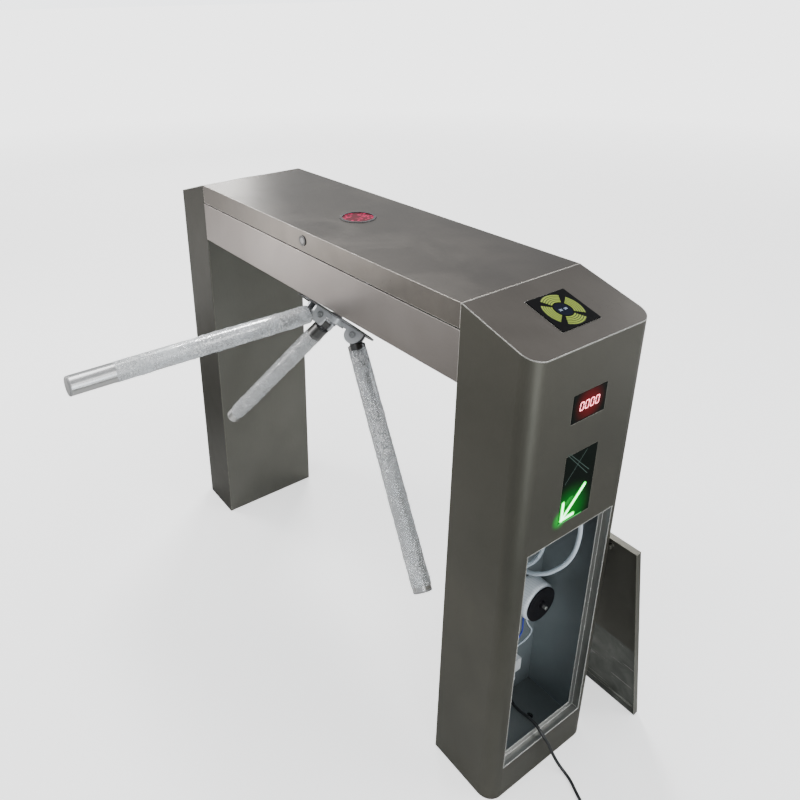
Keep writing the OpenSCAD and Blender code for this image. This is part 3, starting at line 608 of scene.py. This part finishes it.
def arm_axes():
    """The arms' meeting point and each arm's direction, the level arm's first."""
    spin = joints["tripod_spin"]
    meeting = Vector(spin["pos_m"])
    spindle = Vector(spin["axis"]).normalized()
    low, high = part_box("drop_arm_cap")
    first = (low + high) / 2 - meeting
    first.x = 0
    first = first.normalized()
    return meeting, [Matrix.Rotation(math.radians(a), 3, spindle) @ first for a in (0, 120, 240)]


def film(name, start, direction, reach, radius, body, material, seed, loose=0.0034, pitch=0.055):
    """Stretch film wound round an arm: overlapping bands, creases and loose ragged ends."""
    rings, sides = int(reach / FILM_RING), FILM_SIDES
    side = direction.orthogonal().normalized()
    other = direction.cross(side)
    shift = Vector((seed * 3.7, seed * 1.3, seed * 5.1))
    verts, faces = [], []
    for i in range(rings + 1):
        along = reach * i / rings
        for k in range(sides):
            a = 2 * math.pi * k / sides
            band = (along / pitch + k / sides) % 1.0
            ridge = LAP_RISE * max(0.0, 1 - band * LAP_SHARPNESS) + BAND_RISE * band
            round_x, round_y = math.cos(a) * CREASE_ROUND, math.sin(a) * CREASE_ROUND
            place = Vector((round_x, round_y, along * CREASE_ALONG - a * CREASE_TWIST)) + shift
            crease = noise.ridged_multi_fractal(place, 0.9, 2.1, 5, 0.8, 1.9, noise_basis="BLENDER")
            slack = noise.noise(place * 0.45)
            r = radius + FILM_LIFT + ridge
            r = r + loose * CREASE_SHARE * max(0.0, crease - 0.5) + loose * SLACK_SHARE * max(0.0, slack)
            to_end = min(along, reach - along)
            end = to_end / END_TAPER
            if end < 1:
                r = radius + FILM_ENDS_LIFT + (r - radius - FILM_ENDS_LIFT) * (0.4 + 0.6 * end)
            edge = Vector((math.cos(a) * 1.6, math.sin(a) * 1.6, seed + (i > rings / 2)))
            ragged = RAG_DEPTH * noise.noise(edge)
            weight = max(0.0, 1 - to_end / RAG_REACH)
            p = start + direction * (along + ragged * weight)
            verts.append(p + (side * math.cos(a) + other * math.sin(a)) * r)
    for i in range(rings):
        for k in range(sides):
            m = (k + 1) % sides
            ring, following = i * sides, (i + 1) * sides
            faces.append([ring + k, ring + m, following + m, following + k])
    made = piece(name, verts, faces, material, body, "packing_film", smooth=True)
    solid = made.modifiers.new("thickness", "SOLIDIFY")
    solid.thickness = FILM_THICKNESS
    solid.offset = 1
    return made


def film_material(name, metallic):
    """Clear film over polished steel: a glossy skin whose creases glint, with white painted highlights at sparks;
    paler and more diffuse if `metallic` is low.
    """
    n = Nodes(name)
    wide = n.noise(30, (1, 1, 1), detail=4, distort=1.0)
    fine = n.noise(170, (1, 1, 1), detail=5, rough=0.8, distort=1.5)
    cloud = n.ramp(wide, [(0.40, 0.0), (0.62, 1.0)])
    spark = n.ramp(fine, [(0.49, 0.0), (0.58, 1.0)])
    patch = n.ramp(n.noise(13, (1, 1, 1), detail=2), [(0.40, 0.22), (0.60, 1.0)])
    spark = n.math("MULTIPLY", spark, patch)
    alpha = n.math("ADD", n.math("MULTIPLY", cloud, 0.26), 0.18)
    alpha = n.math("ADD", alpha, n.math("MULTIPLY", spark, 0.50))
    normal = n.bump(wide, 0.8, 0.008)
    normal = n.bump(n.math("MULTIPLY", fine, patch), 1.0, 0.0035, normal)
    # Painted highlight: the film turns white where it sparks.
    tone = n.mix(spark, (0.74, 0.77, 0.79), (1.0, 1.0, 1.0))
    return n.finish(Base_Color=tone, Metallic=metallic, Roughness=0.09, Alpha=alpha, Normal=normal)


def make_films():
    meeting, directions = arm_axes()
    low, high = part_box("drop_arm_tube")
    radius = (high.x - low.x) / 2
    sheet = film_material("packing_film", 0.45)
    # Painted light: a lit copy of the film for the level arm, less metallic so it takes more light.
    lit_sheet = film_material("packing_film_lit_copy", 0.10)
    low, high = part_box("drop_arm_film")
    near = abs(high.y - meeting.y)
    far = abs(low.y - meeting.y)
    level = directions[0]
    first = film("film_on_level_arm", meeting + level * near, level, far - near, radius, "drop_arm", lit_sheet, 1)
    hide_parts("drop_arm_film")
    tail_from = meeting + level * (far - TAIL_OVERLAP)
    film("film_tail_on_level_arm", tail_from, level, TAIL_LENGTH, radius, "drop_arm", lit_sheet, 3, loose=0.0022)
    left_is_first = directions[1].x < 0
    for index, (name, a, b) in FILM_SPANS.items():
        way = directions[index] if left_is_first else directions[3 - index]
        made = film(name, meeting + way * a, way, b - a, radius, "tripod", sheet, index + 4)
        if index == 1:
            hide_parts("lower_arm_films")


# ---- displays ----

SEGMENTS = {
    "a": ((-1, 1), (1, 1)), "b": ((1, 1), (1, 0)), "c": ((1, 0), (1, -1)), "d": ((-1, -1), (1, -1)),
    "e": ((-1, 0), (-1, -1)), "f": ((-1, 1), (-1, 0)), "g": ((-1, 0), (1, 0)),
}
DIGITS = 4
DIGIT_W, DIGIT_H, DIGIT_PITCH, DIGIT_SLANT = 0.0078, 0.0070, 0.0124, 0.10
CORE_HALF, BAR_HALF, BAR_TRIM = 0.0007, 0.00125, 0.0003
COUNTER_SHIFT_Y, COUNTER_SHIFT_Z = 0.0005, 0.001
HAZE_W, HAZE_H = 0.0395, 0.0245
# Marks on a window start this far under its face, so no gap shows.
SUNK = -0.0002


def rectangle(left, bottom, right, top):
    return [(left, bottom), (right, bottom), (right, top), (left, top)]


def bar(a, b, half, trim):
    """A segment's outline: a bar with pointed ends between two corners."""
    a, b = Vector(a), Vector(b)
    t = (b - a).normalized()
    a, b = a + t * trim, b - t * trim
    s = Vector((-t.y, t.x)) * half
    return [a, a + t * half + s, b - t * half + s, b, b - t * half - s, a + t * half - s]


def make_counter():
    low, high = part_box("counter_window")
    middle_y, middle_z = (low.y + high.y) / 2, (low.z + high.z) / 2
    face = Plane((high.x, middle_y + COUNTER_SHIFT_Y, middle_z + COUNTER_SHIFT_Z), (0, 1, 0), (0, 0, 1))
    core = glow("counter_core", (1.0, 0.34, 0.40), 5.0)
    lit = glow("counter_red", (1.0, 0.0, 0.03), 1.7)
    dim = glow_field("counter_haze", (0.7, 0.0, 0.02), face.origin, 0.006, 0.044, 0.20)
    dark = paint("counter_unlit", (0.05, 0.001, 0.003), 0.5)
    cores, on, off = [], [], []
    for index in range(DIGITS):
        shift = (index - (DIGITS - 1) / 2) * DIGIT_PITCH
        for name, (a, b) in SEGMENTS.items():
            ends = [(p[0] * DIGIT_W / 2, p[1] * DIGIT_H) for p in (a, b)]
            for half, found in ((CORE_HALF, cores), (BAR_HALF, on)):
                shape = bar(*ends, half, BAR_TRIM)
                shifted = [(p.x + p.y * DIGIT_SLANT + shift, p.y) for p in shape]
                if name != "g":
                    found.append(shifted)
                elif half == BAR_HALF:
                    off.append(shifted)
    haze = [rectangle(-HAZE_W, -HAZE_H, HAZE_W, HAZE_H)]
    for name, outlines, top, look in (
        ("counter_digit_cores", cores, 0.0005, core), ("counter_digits", on, 0.00035, lit),
        ("counter_unlit_bars", off, 0.0003, dark), ("counter_haze", haze, 0.0002, dim),
    ):
        piece(name, *slabs(face, outlines, SUNK, top), look, "cabinet", "lamp_red")


# ---- direction windows ----

CROSS_LINES = [(0.08, 0.0, 0.75, 0.41), (0.14, 0.0, 0.79, 0.37), (0.11, 0.41, 0.65, 0.05)]
CROSS_WIDTH = 0.0009
ARROW_TIP, ARROW_TAIL = Vector((-0.0320, -0.0590)), Vector((0.0185, -0.0075))
UP_BARB, SIDE_BARB = Vector((0.0, 0.0340)), Vector((0.0290, 0.0010))
BARB_OVERLAP = 0.001
ARROW_CORE, ARROW_RIM, ARROW_UNLIT = 0.0040, 0.0084, 0.0046
STROKE_STEP = 0.00004
LEDGE = (-0.0385, -0.0668, 0.020, -0.0650)
STRIPE_RADII, STRIPE_WIDTH = (0.0035, 0.0058, 0.0081, 0.0104), 0.0009
STRIPE_X, STRIPE_Y = -0.0135, -0.0300
GLOW_W, GLOW_H = 0.0392, 0.0672
GLOW_CENTRE, GLOW_INNER, GLOW_OUTER = (-0.016, -0.046), 0.004, 0.066
SPILL_CENTRE, SPILL_REACH = (-0.035, -0.056), 0.024
SPILL_LEFT, SPILL_BOTTOM, SPILL_TOP, SPILL_EDGE_X, SPILL_EDGE_Y = -0.066, -0.092, -0.030, -0.0396, -0.0676


def strip(a, b, width):
    """A straight stroke with square ends."""
    a, b = Vector(a), Vector(b)
    t = (b - a).normalized()
    s = Vector((-t.y, t.x)) * width / 2
    return [a - s, b - s, b + s, a + s]


def rounded_strip(a, b, width):
    """A straight stroke with round ends."""
    steps = 8
    a, b = Vector(a), Vector(b)
    t = (b - a).normalized()
    s = Vector((-t.y, t.x))
    half = width / 2
    turns = [math.pi * k / steps for k in range(steps + 1)]
    return [b + (s * math.cos(k) + t * math.sin(k)) * half for k in turns] + [
        a - (s * math.cos(k) + t * math.sin(k)) * half for k in turns
    ]


def glow_field(name, colour, centre, inner, outer, strength):
    """A glow that fades with distance from a point on the object."""
    n = Nodes(name)
    away = n.add("ShaderNodeVectorMath", operation="DISTANCE")
    n.link(n.place, away.inputs[0])
    away.inputs[1].default_value = centre
    spread = n.add("ShaderNodeMapRange", interpolation_type="SMOOTHERSTEP")
    n.link(away.outputs["Value"], spread.inputs["Value"])
    spread.inputs["From Min"].default_value = inner
    spread.inputs["From Max"].default_value = outer
    spread.inputs["To Min"].default_value = strength
    spread.inputs["To Max"].default_value = 0.0
    return n.finish(
        Base_Color=(0.0006, 0.003, 0.0018, 1), Roughness=0.4, Emission_Color=(*colour, 1),
        Emission_Strength=spread.outputs["Result"], Specular_IOR_Level=0.06,
    )


def halo(name, colour, centre, reach, strength):
    """Light spilled on the steel round a lit window: brightest at its centre, clear at its edge."""
    n = Nodes(name)
    away = n.add("ShaderNodeVectorMath", operation="DISTANCE")
    n.link(n.place, away.inputs[0])
    away.inputs[1].default_value = centre
    fade = n.add("ShaderNodeMapRange", interpolation_type="SMOOTHERSTEP")
    n.link(away.outputs["Value"], fade.inputs["Value"])
    fade.inputs["From Max"].default_value = reach
    fade.inputs["To Min"].default_value = strength
    fade.inputs["To Max"].default_value = 0.0
    return n.finish(
        Base_Color=(*shade(colour, 0.1), 1), Roughness=0.5, Alpha=fade.outputs["Result"],
        Emission_Color=(*colour, 1), Emission_Strength=0.8, Specular_IOR_Level=0.0,
    )


def make_direction(side, lit):
    """Direction window on one end: side is 1 at the counter's end and -1 at the other."""
    low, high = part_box("direction_windows")
    middle = (low.z + high.z) / 2
    name = "right" if side > 0 else "left"
    x = high.x if side > 0 else low.x
    face = Plane((x, (low.y + high.y) / 2, middle), (0, side, 0), (0, 0, 1))
    width, height = high.y - low.y, high.z - low.z
    line = paint(f"{name}_cross", (0.045, 0.085, 0.070), 0.5)
    marks = []
    for a, b, c, d in CROSS_LINES:
        start = ((a - 0.5) * width, (0.5 - b) * height)
        end = ((c - 0.5) * width, (0.5 - d) * height)
        marks.append(strip(start, end, CROSS_WIDTH))
    piece(f"{name}_cross_lines", *slabs(face, marks, SUNK, 0.0002), line, "cabinet", "black_acrylic")
    strokes = [
        (ARROW_TAIL, ARROW_TIP),
        (ARROW_TIP + UP_BARB, ARROW_TIP - Vector((0, BARB_OVERLAP))),
        (ARROW_TIP + SIDE_BARB, ARROW_TIP - Vector((BARB_OVERLAP, 0))),
    ]
    if lit:
        lamp = glow("arrow_lit", (0.42, 1.0, 0.52), 6.0, (0.75, 1.0, 0.80))
        rim = glow("arrow_rim", (0.0, 1.0, 0.06), 2.6)
        rows = (("arrow", ARROW_CORE, 0.0007, lamp), ("arrow_rim", ARROW_RIM, 0.0004, rim))
        for label, thick, rise, look in rows:
            for k, (a, b) in enumerate(strokes):
                solid = slabs(face, [rounded_strip(a, b, thick)], SUNK, rise + STROKE_STEP * k)
                piece(f"{label}_{k}", *solid, look, "cabinet", "black_acrylic")
        ledge = glow("ledge_green", (0.0, 0.7, 0.08), 0.6)
        solid = slabs(face, [rectangle(*LEDGE)], SUNK, 0.0004)
        piece("arrow_ledge", *solid, ledge, "cabinet", "black_acrylic")
        stripes = []
        for r in STRIPE_RADII:
            ring = arc(r, r + STRIPE_WIDTH, math.radians(60), math.radians(200), 8)
            stripes.append([(x + STRIPE_X, y + STRIPE_Y) for x, y in ring])
        patch = glow("stripe_green", (0.0, 0.60, 0.05), 0.5)
        piece("arrow_stripes", *slabs(face, stripes, SUNK, 0.00025), patch, "cabinet", "black_acrylic")
        corner = face.at(*SPILL_CENTRE)
        spill = halo("arrow_spill", (0.0, 1.0, 0.08), corner, SPILL_REACH, 0.34)
        beside = [
            rectangle(SPILL_LEFT, SPILL_BOTTOM, 0.0, SPILL_EDGE_Y),
            rectangle(SPILL_LEFT, SPILL_EDGE_Y, SPILL_EDGE_X, SPILL_TOP),
        ]
        piece("arrow_spill", *slabs(face, beside, 0.00002, 0.00008), spill, "cabinet", "pedestal_steel")
        centre = face.at(*GLOW_CENTRE)
        field = glow_field("direction_glow", (0.0, 0.60, 0.03), centre, GLOW_INNER, GLOW_OUTER, 0.30)
        outline = rectangle(-GLOW_W, -GLOW_H, GLOW_W, GLOW_H)
        piece("direction_glow", *slabs(face, [outline], -0.0003, 0.0001), field, "cabinet", "black_acrylic")
    else:
        for k, (a, b) in enumerate(strokes):
            solid = slabs(face, [rounded_strip(a, b, ARROW_UNLIT)], SUNK, 0.0003 + STROKE_STEP * k)
            piece(f"arrow_unlit_{k}", *solid, line, "cabinet", "black_acrylic")


# ---- readers ----

READER_QUARTERS = 4
READER_RINGS, RING_FIRST, RING_STEP, RING_WIDTH = 5, 0.0178, 0.0039, 0.0022
FIELD_INNER, FIELD_OUTER, QUARTER_HALF = 0.0175, 0.0368, math.radians(36)
READER_MIDDLE, DOT_RADIUS = 0.0150, 0.00085
DOT_COLUMNS, DOT_ROWS = (-0.0078, -0.0055, -0.0032, 0.0032, 0.0055, 0.0078), (-0.0012, 0.0012)
FACE_TOLERANCE = 0.0005


def make_reader(side):
    """Antenna lines round the reader's centre: four arcs, each of thin concentric lines."""
    name = "right" if side > 0 else "left"
    spots = [v.co for v in nodes["reader_windows"].data.vertices if v.co.x * side > 0]
    drop = Vector((side * math.cos(SLOPE), 0, -math.sin(SLOPE)))
    out = Vector((side * math.sin(SLOPE), 0, math.cos(SLOPE)))
    height = max(p.dot(out) for p in spots)
    on_face = [p for p in spots if p.dot(out) > height - FACE_TOLERANCE]
    down = [p.dot(drop) for p in on_face]
    wide = [p.y for p in on_face]
    across = Vector((0, (min(wide) + max(wide)) / 2, 0))
    centre = out * height + drop * (min(down) + max(down)) / 2 + across
    face = Plane(centre, (0, side, 0), -drop)
    green = paint(f"{name}_reader_green", (0.18, 0.25, 0.006), 0.5, vary=0.1)
    field = paint(f"{name}_reader_field", (0.018, 0.023, 0.003), 0.6, vary=0.3)
    lines, fills = [], []
    for quarter in range(READER_QUARTERS):
        middle = quarter * math.pi / 2
        start, end = middle - QUARTER_HALF, middle + QUARTER_HALF
        for ring in range(READER_RINGS):
            r = RING_FIRST + ring * RING_STEP
            lines.append(arc(r, r + RING_WIDTH, start, end))
        fills.append(arc(FIELD_INNER, FIELD_OUTER, start, end))
    piece(f"{name}_reader_lines", *slabs(face, lines, SUNK, 0.0004), green, "cabinet", "black_acrylic")
    piece(f"{name}_reader_arcs", *slabs(face, fills, SUNK, 0.0002), field, "cabinet", "black_acrylic")
    card = paint(f"{name}_reader_card", (0.30, 0.38, 0.52), 0.5)
    navy = dark_window(f"{name}_reader_navy", (0.0022, 0.0035, 0.010))
    disc = arc(0.0, READER_MIDDLE, 0.0, 2 * math.pi, 40)[:40]
    piece(f"{name}_reader_middle", *slabs(face, [disc], SUNK, 0.0002), navy, "cabinet", "black_acrylic")
    dot = arc(0.0, DOT_RADIUS, 0.0, 2 * math.pi, 10)[:10]
    marks = [[(x + cx, y + cy) for x, y in dot] for cx in DOT_COLUMNS for cy in DOT_ROWS]
    piece(f"{name}_reader_mark", *slabs(face, marks, SUNK, 0.0003), card, "cabinet", "black_acrylic")


def arc(inner, outer, start, end, steps=18):
    """Part of a flat ring, between two radii and two angles."""
    points = [start + (end - start) * k / steps for k in range(steps + 1)]
    return [(outer * math.cos(a), outer * math.sin(a)) for a in points] + [
        (inner * math.cos(a), inner * math.sin(a)) for a in reversed(points)
    ]


# ---- lights and floor ----

FLOOR_HALF = 60
# The floor as reflections see it, by distance from the centre in tens of metres: dark where the lower
# panels mirror it, pale again further out.
FLOOR_MIRRORED = [
    (0.075, (0.40, 0.40, 0.39)), (0.11, (0.13, 0.13, 0.12)), (0.17, (0.13, 0.13, 0.12)),
    (0.22, (0.80, 0.80, 0.80)), (0.26, (0.80, 0.80, 0.80)), (0.32, (0.42, 0.42, 0.41)),
]
# Middle and half size of the painted shade on the floor under each pedestal.
UNDER_X, UNDER_HALF_X, UNDER_HALF_Y = 0.525, 0.060, 0.115
# How much the floor is lifted for the camera, near the object and added far away.
LIFT_NEAR, LIFT_FAR = 0.95, 1.9
SKY_LIGHT, SKY_SEEN = 0.55, 3.2


def make_stage():
    n = Nodes("pale_floor")
    cloud = n.noise(0.8, detail=2)
    pale = n.mix(cloud, (0.80, 0.80, 0.80), (0.84, 0.84, 0.84))
    away = n.add("ShaderNodeVectorMath", operation="LENGTH")
    n.link(n.place, away.inputs[0])
    reach = n.math("MULTIPLY", away.outputs["Value"], 0.1)
    rays = n.add("ShaderNodeLightPath")
    tone = n.mix(rays.outputs["Is Glossy Ray"], pale, n.ramp(reach, FLOOR_MIRRORED))
    far = n.ramp(reach, [(0.08, 0.0), (0.75, 1.0)])
    spot = n.add("ShaderNodeSeparateXYZ")
    n.link(n.place, spot.inputs[0])
    # Painted shade on the floor under each pedestal: dark, and not lifted for the camera.
    from_leg = n.math("SUBTRACT", n.math("ABSOLUTE", spot.outputs[0]), UNDER_X)
    under_x = n.math("LESS_THAN", n.math("ABSOLUTE", from_leg), UNDER_HALF_X)
    under_y = n.math("LESS_THAN", n.math("ABSOLUTE", spot.outputs[1]), UNDER_HALF_Y)
    under = n.math("MULTIPLY", under_x, under_y)
    tone = n.mix(under, tone, (0.02, 0.02, 0.02))
    lift = n.math("ADD", n.math("MULTIPLY", far, LIFT_FAR), LIFT_NEAR)
    seen = n.math("MULTIPLY", rays.outputs["Is Camera Ray"], n.math("SUBTRACT", 1.0, under))
    lift = n.math("MULTIPLY", lift, seen)
    material = n.finish(Base_Color=tone, Roughness=0.9, Emission_Color=(1, 1, 1, 1), Emission_Strength=lift)
    mesh = bpy.data.meshes.new("floor")
    corners = [(x, y, 0) for x, y in rectangle(-FLOOR_HALF, -FLOOR_HALF, FLOOR_HALF, FLOOR_HALF)]
    mesh.from_pydata(corners, [], [[0, 1, 2, 3]])
    mesh.materials.append(material)
    floor = bpy.data.objects.new("floor", mesh)
    scene.collection.objects.link(floor)
    world = bpy.data.worlds.new("studio")
    scene.world = world
    world.use_nodes = True
    sky = world.node_tree.nodes["Background"]
    rays = world.node_tree.nodes.new("ShaderNodeLightPath")
    level = world.node_tree.nodes.new("ShaderNodeMapRange")
    world.node_tree.links.new(rays.outputs["Is Camera Ray"], level.inputs["Value"])
    level.inputs["To Min"].default_value = SKY_LIGHT
    level.inputs["To Max"].default_value = SKY_SEEN
    world.node_tree.links.new(level.outputs["Result"], sky.inputs["Strength"])
    sky.inputs["Color"].default_value = (0.96, 0.98, 1.0, 1)


WHITE, COOL, WARM = (1, 1, 1), (0.86, 0.95, 1.0), (1.0, 0.96, 0.94)
# Name, place, what it aims at, size, watts and colour of each softbox.
LIGHTS = (
    ("overhead", (-0.4, -0.9, 3.6), (0, 0, 0.6), (3.0, 2.0), 88, WHITE),
    ("left_low", (-2.15, -1.75, 0.45), (0, -0.14, 0.9), (0.8, 0.8), 12, WARM),
    ("left_high", (-4.6, 1.7, 2.1), (-0.3, 0, 1.0), (0.9, 1.3), 33, (1.0, 0.98, 0.95)),
    ("end_fill", (2.6, -0.2, 0.9), (0.5, 0, 0.35), (0.9, 0.9), 8, (0.90, 0.96, 1.0)),
    ("sill_fill", (1.9, -0.7, 0.9), (0.57, 0.03, 0.1), (0.5, 0.5), 7, (0.92, 0.97, 1.0)),
    ("behind", (0.8, 2.8, 2.2), (0, 0, 0.7), (2.0, 1.4), 18, (0.90, 0.95, 1.0)),
    ("fold_glint", (1.9, 1.1, 2.3), (0.6, 0, 0.95), (0.9, 0.9), 26, WHITE),
    ("front_glint", (-2.2, -1.1, 2.2), (0, -0.14, 0.95), (0.7, 0.7), 28, WHITE),
    ("arm_glint", (-1.4, 0.9, 3.2), (0, -0.4, 0.75), (0.6, 0.5), 80, WHITE),
    ("arm_sheen", (2.6, 0.3, 2.1), (0, -0.5, 0.81), (1.8, 1.2), 10, WHITE),
    ("bay_top", (0.530, -0.03, 0.74), (0.52, 0.02, 0.0), (0.05, 0.14), 0.20, COOL),
    ("bay_low", (1.9, -0.5, 0.25), (0.5, 0.05, 0.15), (0.5, 0.3), 2.5, COOL),
)


def area(name, at, aim, size, power, colour):
    data = bpy.data.lights.new(name, "AREA")
    data.shape = "RECTANGLE"
    data.size, data.size_y = size
    data.energy = power
    data.color = colour
    lamp = bpy.data.objects.new(name, data)
    scene.collection.objects.link(lamp)
    lamp.location = at
    lamp.visible_camera = False
    lamp.rotation_mode = "QUATERNION"
    lamp.rotation_quaternion = (Vector(aim) - Vector(at)).to_track_quat("-Z", "Y")


def make_lights():
    for row in LIGHTS:
        area(*row)


# ---- put together ----

SLOPE_FALL, SLOPE_RUN = 0.045, 0.150
SLOPE = math.atan2(SLOPE_FALL, SLOPE_RUN)

make_camera()
RUBBER = paint("lead_rubber", (0.012, 0.012, 0.013), 0.45, scale=300, vary=0.3)
make_lead(RUBBER)

BAY = (0.34, 0.385, 0.40)
# How the brushed grain is stretched, so its streaks run up a panel, along the beam or along the lid.
UPRIGHT, UPRIGHT_WIDE, ALONG_BEAM, ALONG_LID = (30, 30, 1), (20, 20, 1), (1, 30, 30), (1, 30, 1)
EVEN, EVEN_FINE, EVEN_FINER = (3, 3, 3), (4, 4, 4), (6, 6, 6)
DUST_LINE = 0.21
LOOKS = {
    "pedestal_steel": steel(
        "pedestal_steel", (0.120, 0.115, 0.096), UPRIGHT, 0.38, 0.85, (0.096, 0.094, 0.079),
        bay=BAY, shine=2.1),
    "inner_panel": steel(
        "inner_panel", (0.235, 0.233, 0.208), UPRIGHT, 0.38, 0.85, (0.19, 0.19, 0.165), bay=BAY, shine=2.0),
    "beam_steel": steel(
        "beam_steel", (0.32, 0.290, 0.272), ALONG_BEAM, 0.27, 0.85, (0.24, 0.217, 0.203), shine=2.8),
    "lid_steel": steel(
        "lid_steel", (0.148, 0.134, 0.119), ALONG_LID, 0.24, 0.85, (0.120, 0.109, 0.098), shine=8.0),
    # Painted light: a copy of lid_steel for the lid itself, darker on top as painted shade and brighter on its -Y
    # face.
    "lid_top_painted_light": steel(
        "lid_top_painted_light", (0.104, 0.094, 0.083), ALONG_LID, 0.24, 0.85, (0.084, 0.077, 0.069),
        shine=8.0, front=1.75),
    # Painted shade: darker copies of pedestal_steel and inner_panel for the far pedestal, its inner panel and its
    # fitted cover.
    "far_shell_painted_shade": steel(
        "far_shell_painted_shade", (0.053, 0.051, 0.043), UPRIGHT, 0.38, 0.85, (0.043, 0.042, 0.035), bay=BAY, shine=4.0),
    "far_panel_painted_shade": steel(
        "far_panel_painted_shade", (0.198, 0.196, 0.175), UPRIGHT, 0.38, 0.85, (0.155, 0.155, 0.135), bay=BAY, shine=2.0),
    "inner_steel": steel(
        "inner_steel", (0.36, 0.36, 0.34), UPRIGHT_WIDE, 0.30, 0.85, (0.24, 0.245, 0.235), shine=2.4),
    "plate_steel": steel("plate_steel", (0.26, 0.285, 0.29), EVEN_FINER, 0.42, 0.5, shine=2.4),
    "zinc_fasteners": steel("zinc_fasteners", (0.55, 0.55, 0.52), EVEN_FINE, 0.32, 0.95),
    "black_acrylic": dark_window("black_acrylic"),
    "circuit_board": paint("circuit_board", (0.02, 0.12, 0.06), 0.4),
    "head_steel": paint("head_steel", (0.06, 0.06, 0.065), 0.45, 0.5),
    "machined_steel": steel("machined_steel", (0.42, 0.43, 0.44), EVEN, 0.28, 0.95),
    "cover_inner": smudged_steel("cover_inner", (0.135, 0.132, 0.113), DUST_LINE),
    "lock_ring": steel("lock_ring", (0.10, 0.10, 0.10), EVEN, 0.3, 0.9, shine=3.0),
    "lock_plug": steel("lock_plug", (0.32, 0.32, 0.32), EVEN, 0.25, 0.95),
    "disc_steel": steel("disc_steel", (0.13, 0.13, 0.135), EVEN, 0.3, 0.95, shine=6.0),
    "cast_alloy": paint("cast_alloy", (0.62, 0.63, 0.65), 0.38, 0.6, scale=200, bump=0.4, vary=0.12),
    "arm_steel": steel(
        "arm_steel", (0.74, 0.74, 0.74), EVEN_FINER, 0.15, 1.0, (0.66, 0.66, 0.66), shine=1.2),
    # Painted shade: arm steel that darkens near the hub.
    "arm_steel_shaded_root": steel(
        "arm_steel_shaded_root", (0.74, 0.74, 0.74), EVEN_FINER, 0.18, 1.0, (0.62, 0.62, 0.62), shine=1.2,
        root=joints["tripod_spin"]["pos_m"]),
    "end_plug": paint("end_plug", (0.30, 0.30, 0.30), 0.4, 0.3),
    "packing_film": paint("film_fallback", (0.6, 0.6, 0.6), 0.3),
    "black_plastic": paint("black_plastic", (0.007, 0.006, 0.008), 0.42),
    "white_plastic": paint("white_plastic", (0.75, 0.77, 0.78), 0.35, coat=0.3),
    "toroid_wrap": wound_tape("toroid_wrap", sum(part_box("transformer"), Vector()) / 2),
    "white_sleeving": sleeving("white_sleeving", (0.50, 0.57, 0.63)),
    "blue_insulation": paint("blue_insulation", (0.04, 0.06, 0.45), 0.4),
    "lead_rubber": RUBBER,
    "lamp_red": lamp_material(),
}
# Nodes whose look differs from the rest of their material slot.
NODE_LOOKS = {"right_inner_panel": "inner_panel", "left_inner_panel": "far_panel_painted_shade", "hub_disc": "disc_steel",
              "lid": "lid_top_painted_light", "left_pedestal_shell": "far_shell_painted_shade", "fitted_cover": "far_shell_painted_shade",
              "removed_cover": "cover_inner", "left_arm": "arm_steel_shaded_root", "right_arm": "arm_steel_shaded_root",
              "lid_lock_body": "lock_ring", "lid_lock_plug": "lock_plug"}
for entry in frame["record"]["subparts"]:
    mesh = nodes[entry["node"]].data
    mesh.materials.clear()
    mesh.materials.append(LOOKS[NODE_LOOKS.get(entry["node"], entry["material_slot"])])

make_clamp_bolt()
make_wiring()
make_films()
make_counter()
make_direction(1, True)
make_direction(-1, False)
make_reader(1)
make_reader(-1)
make_stage()
make_lights()
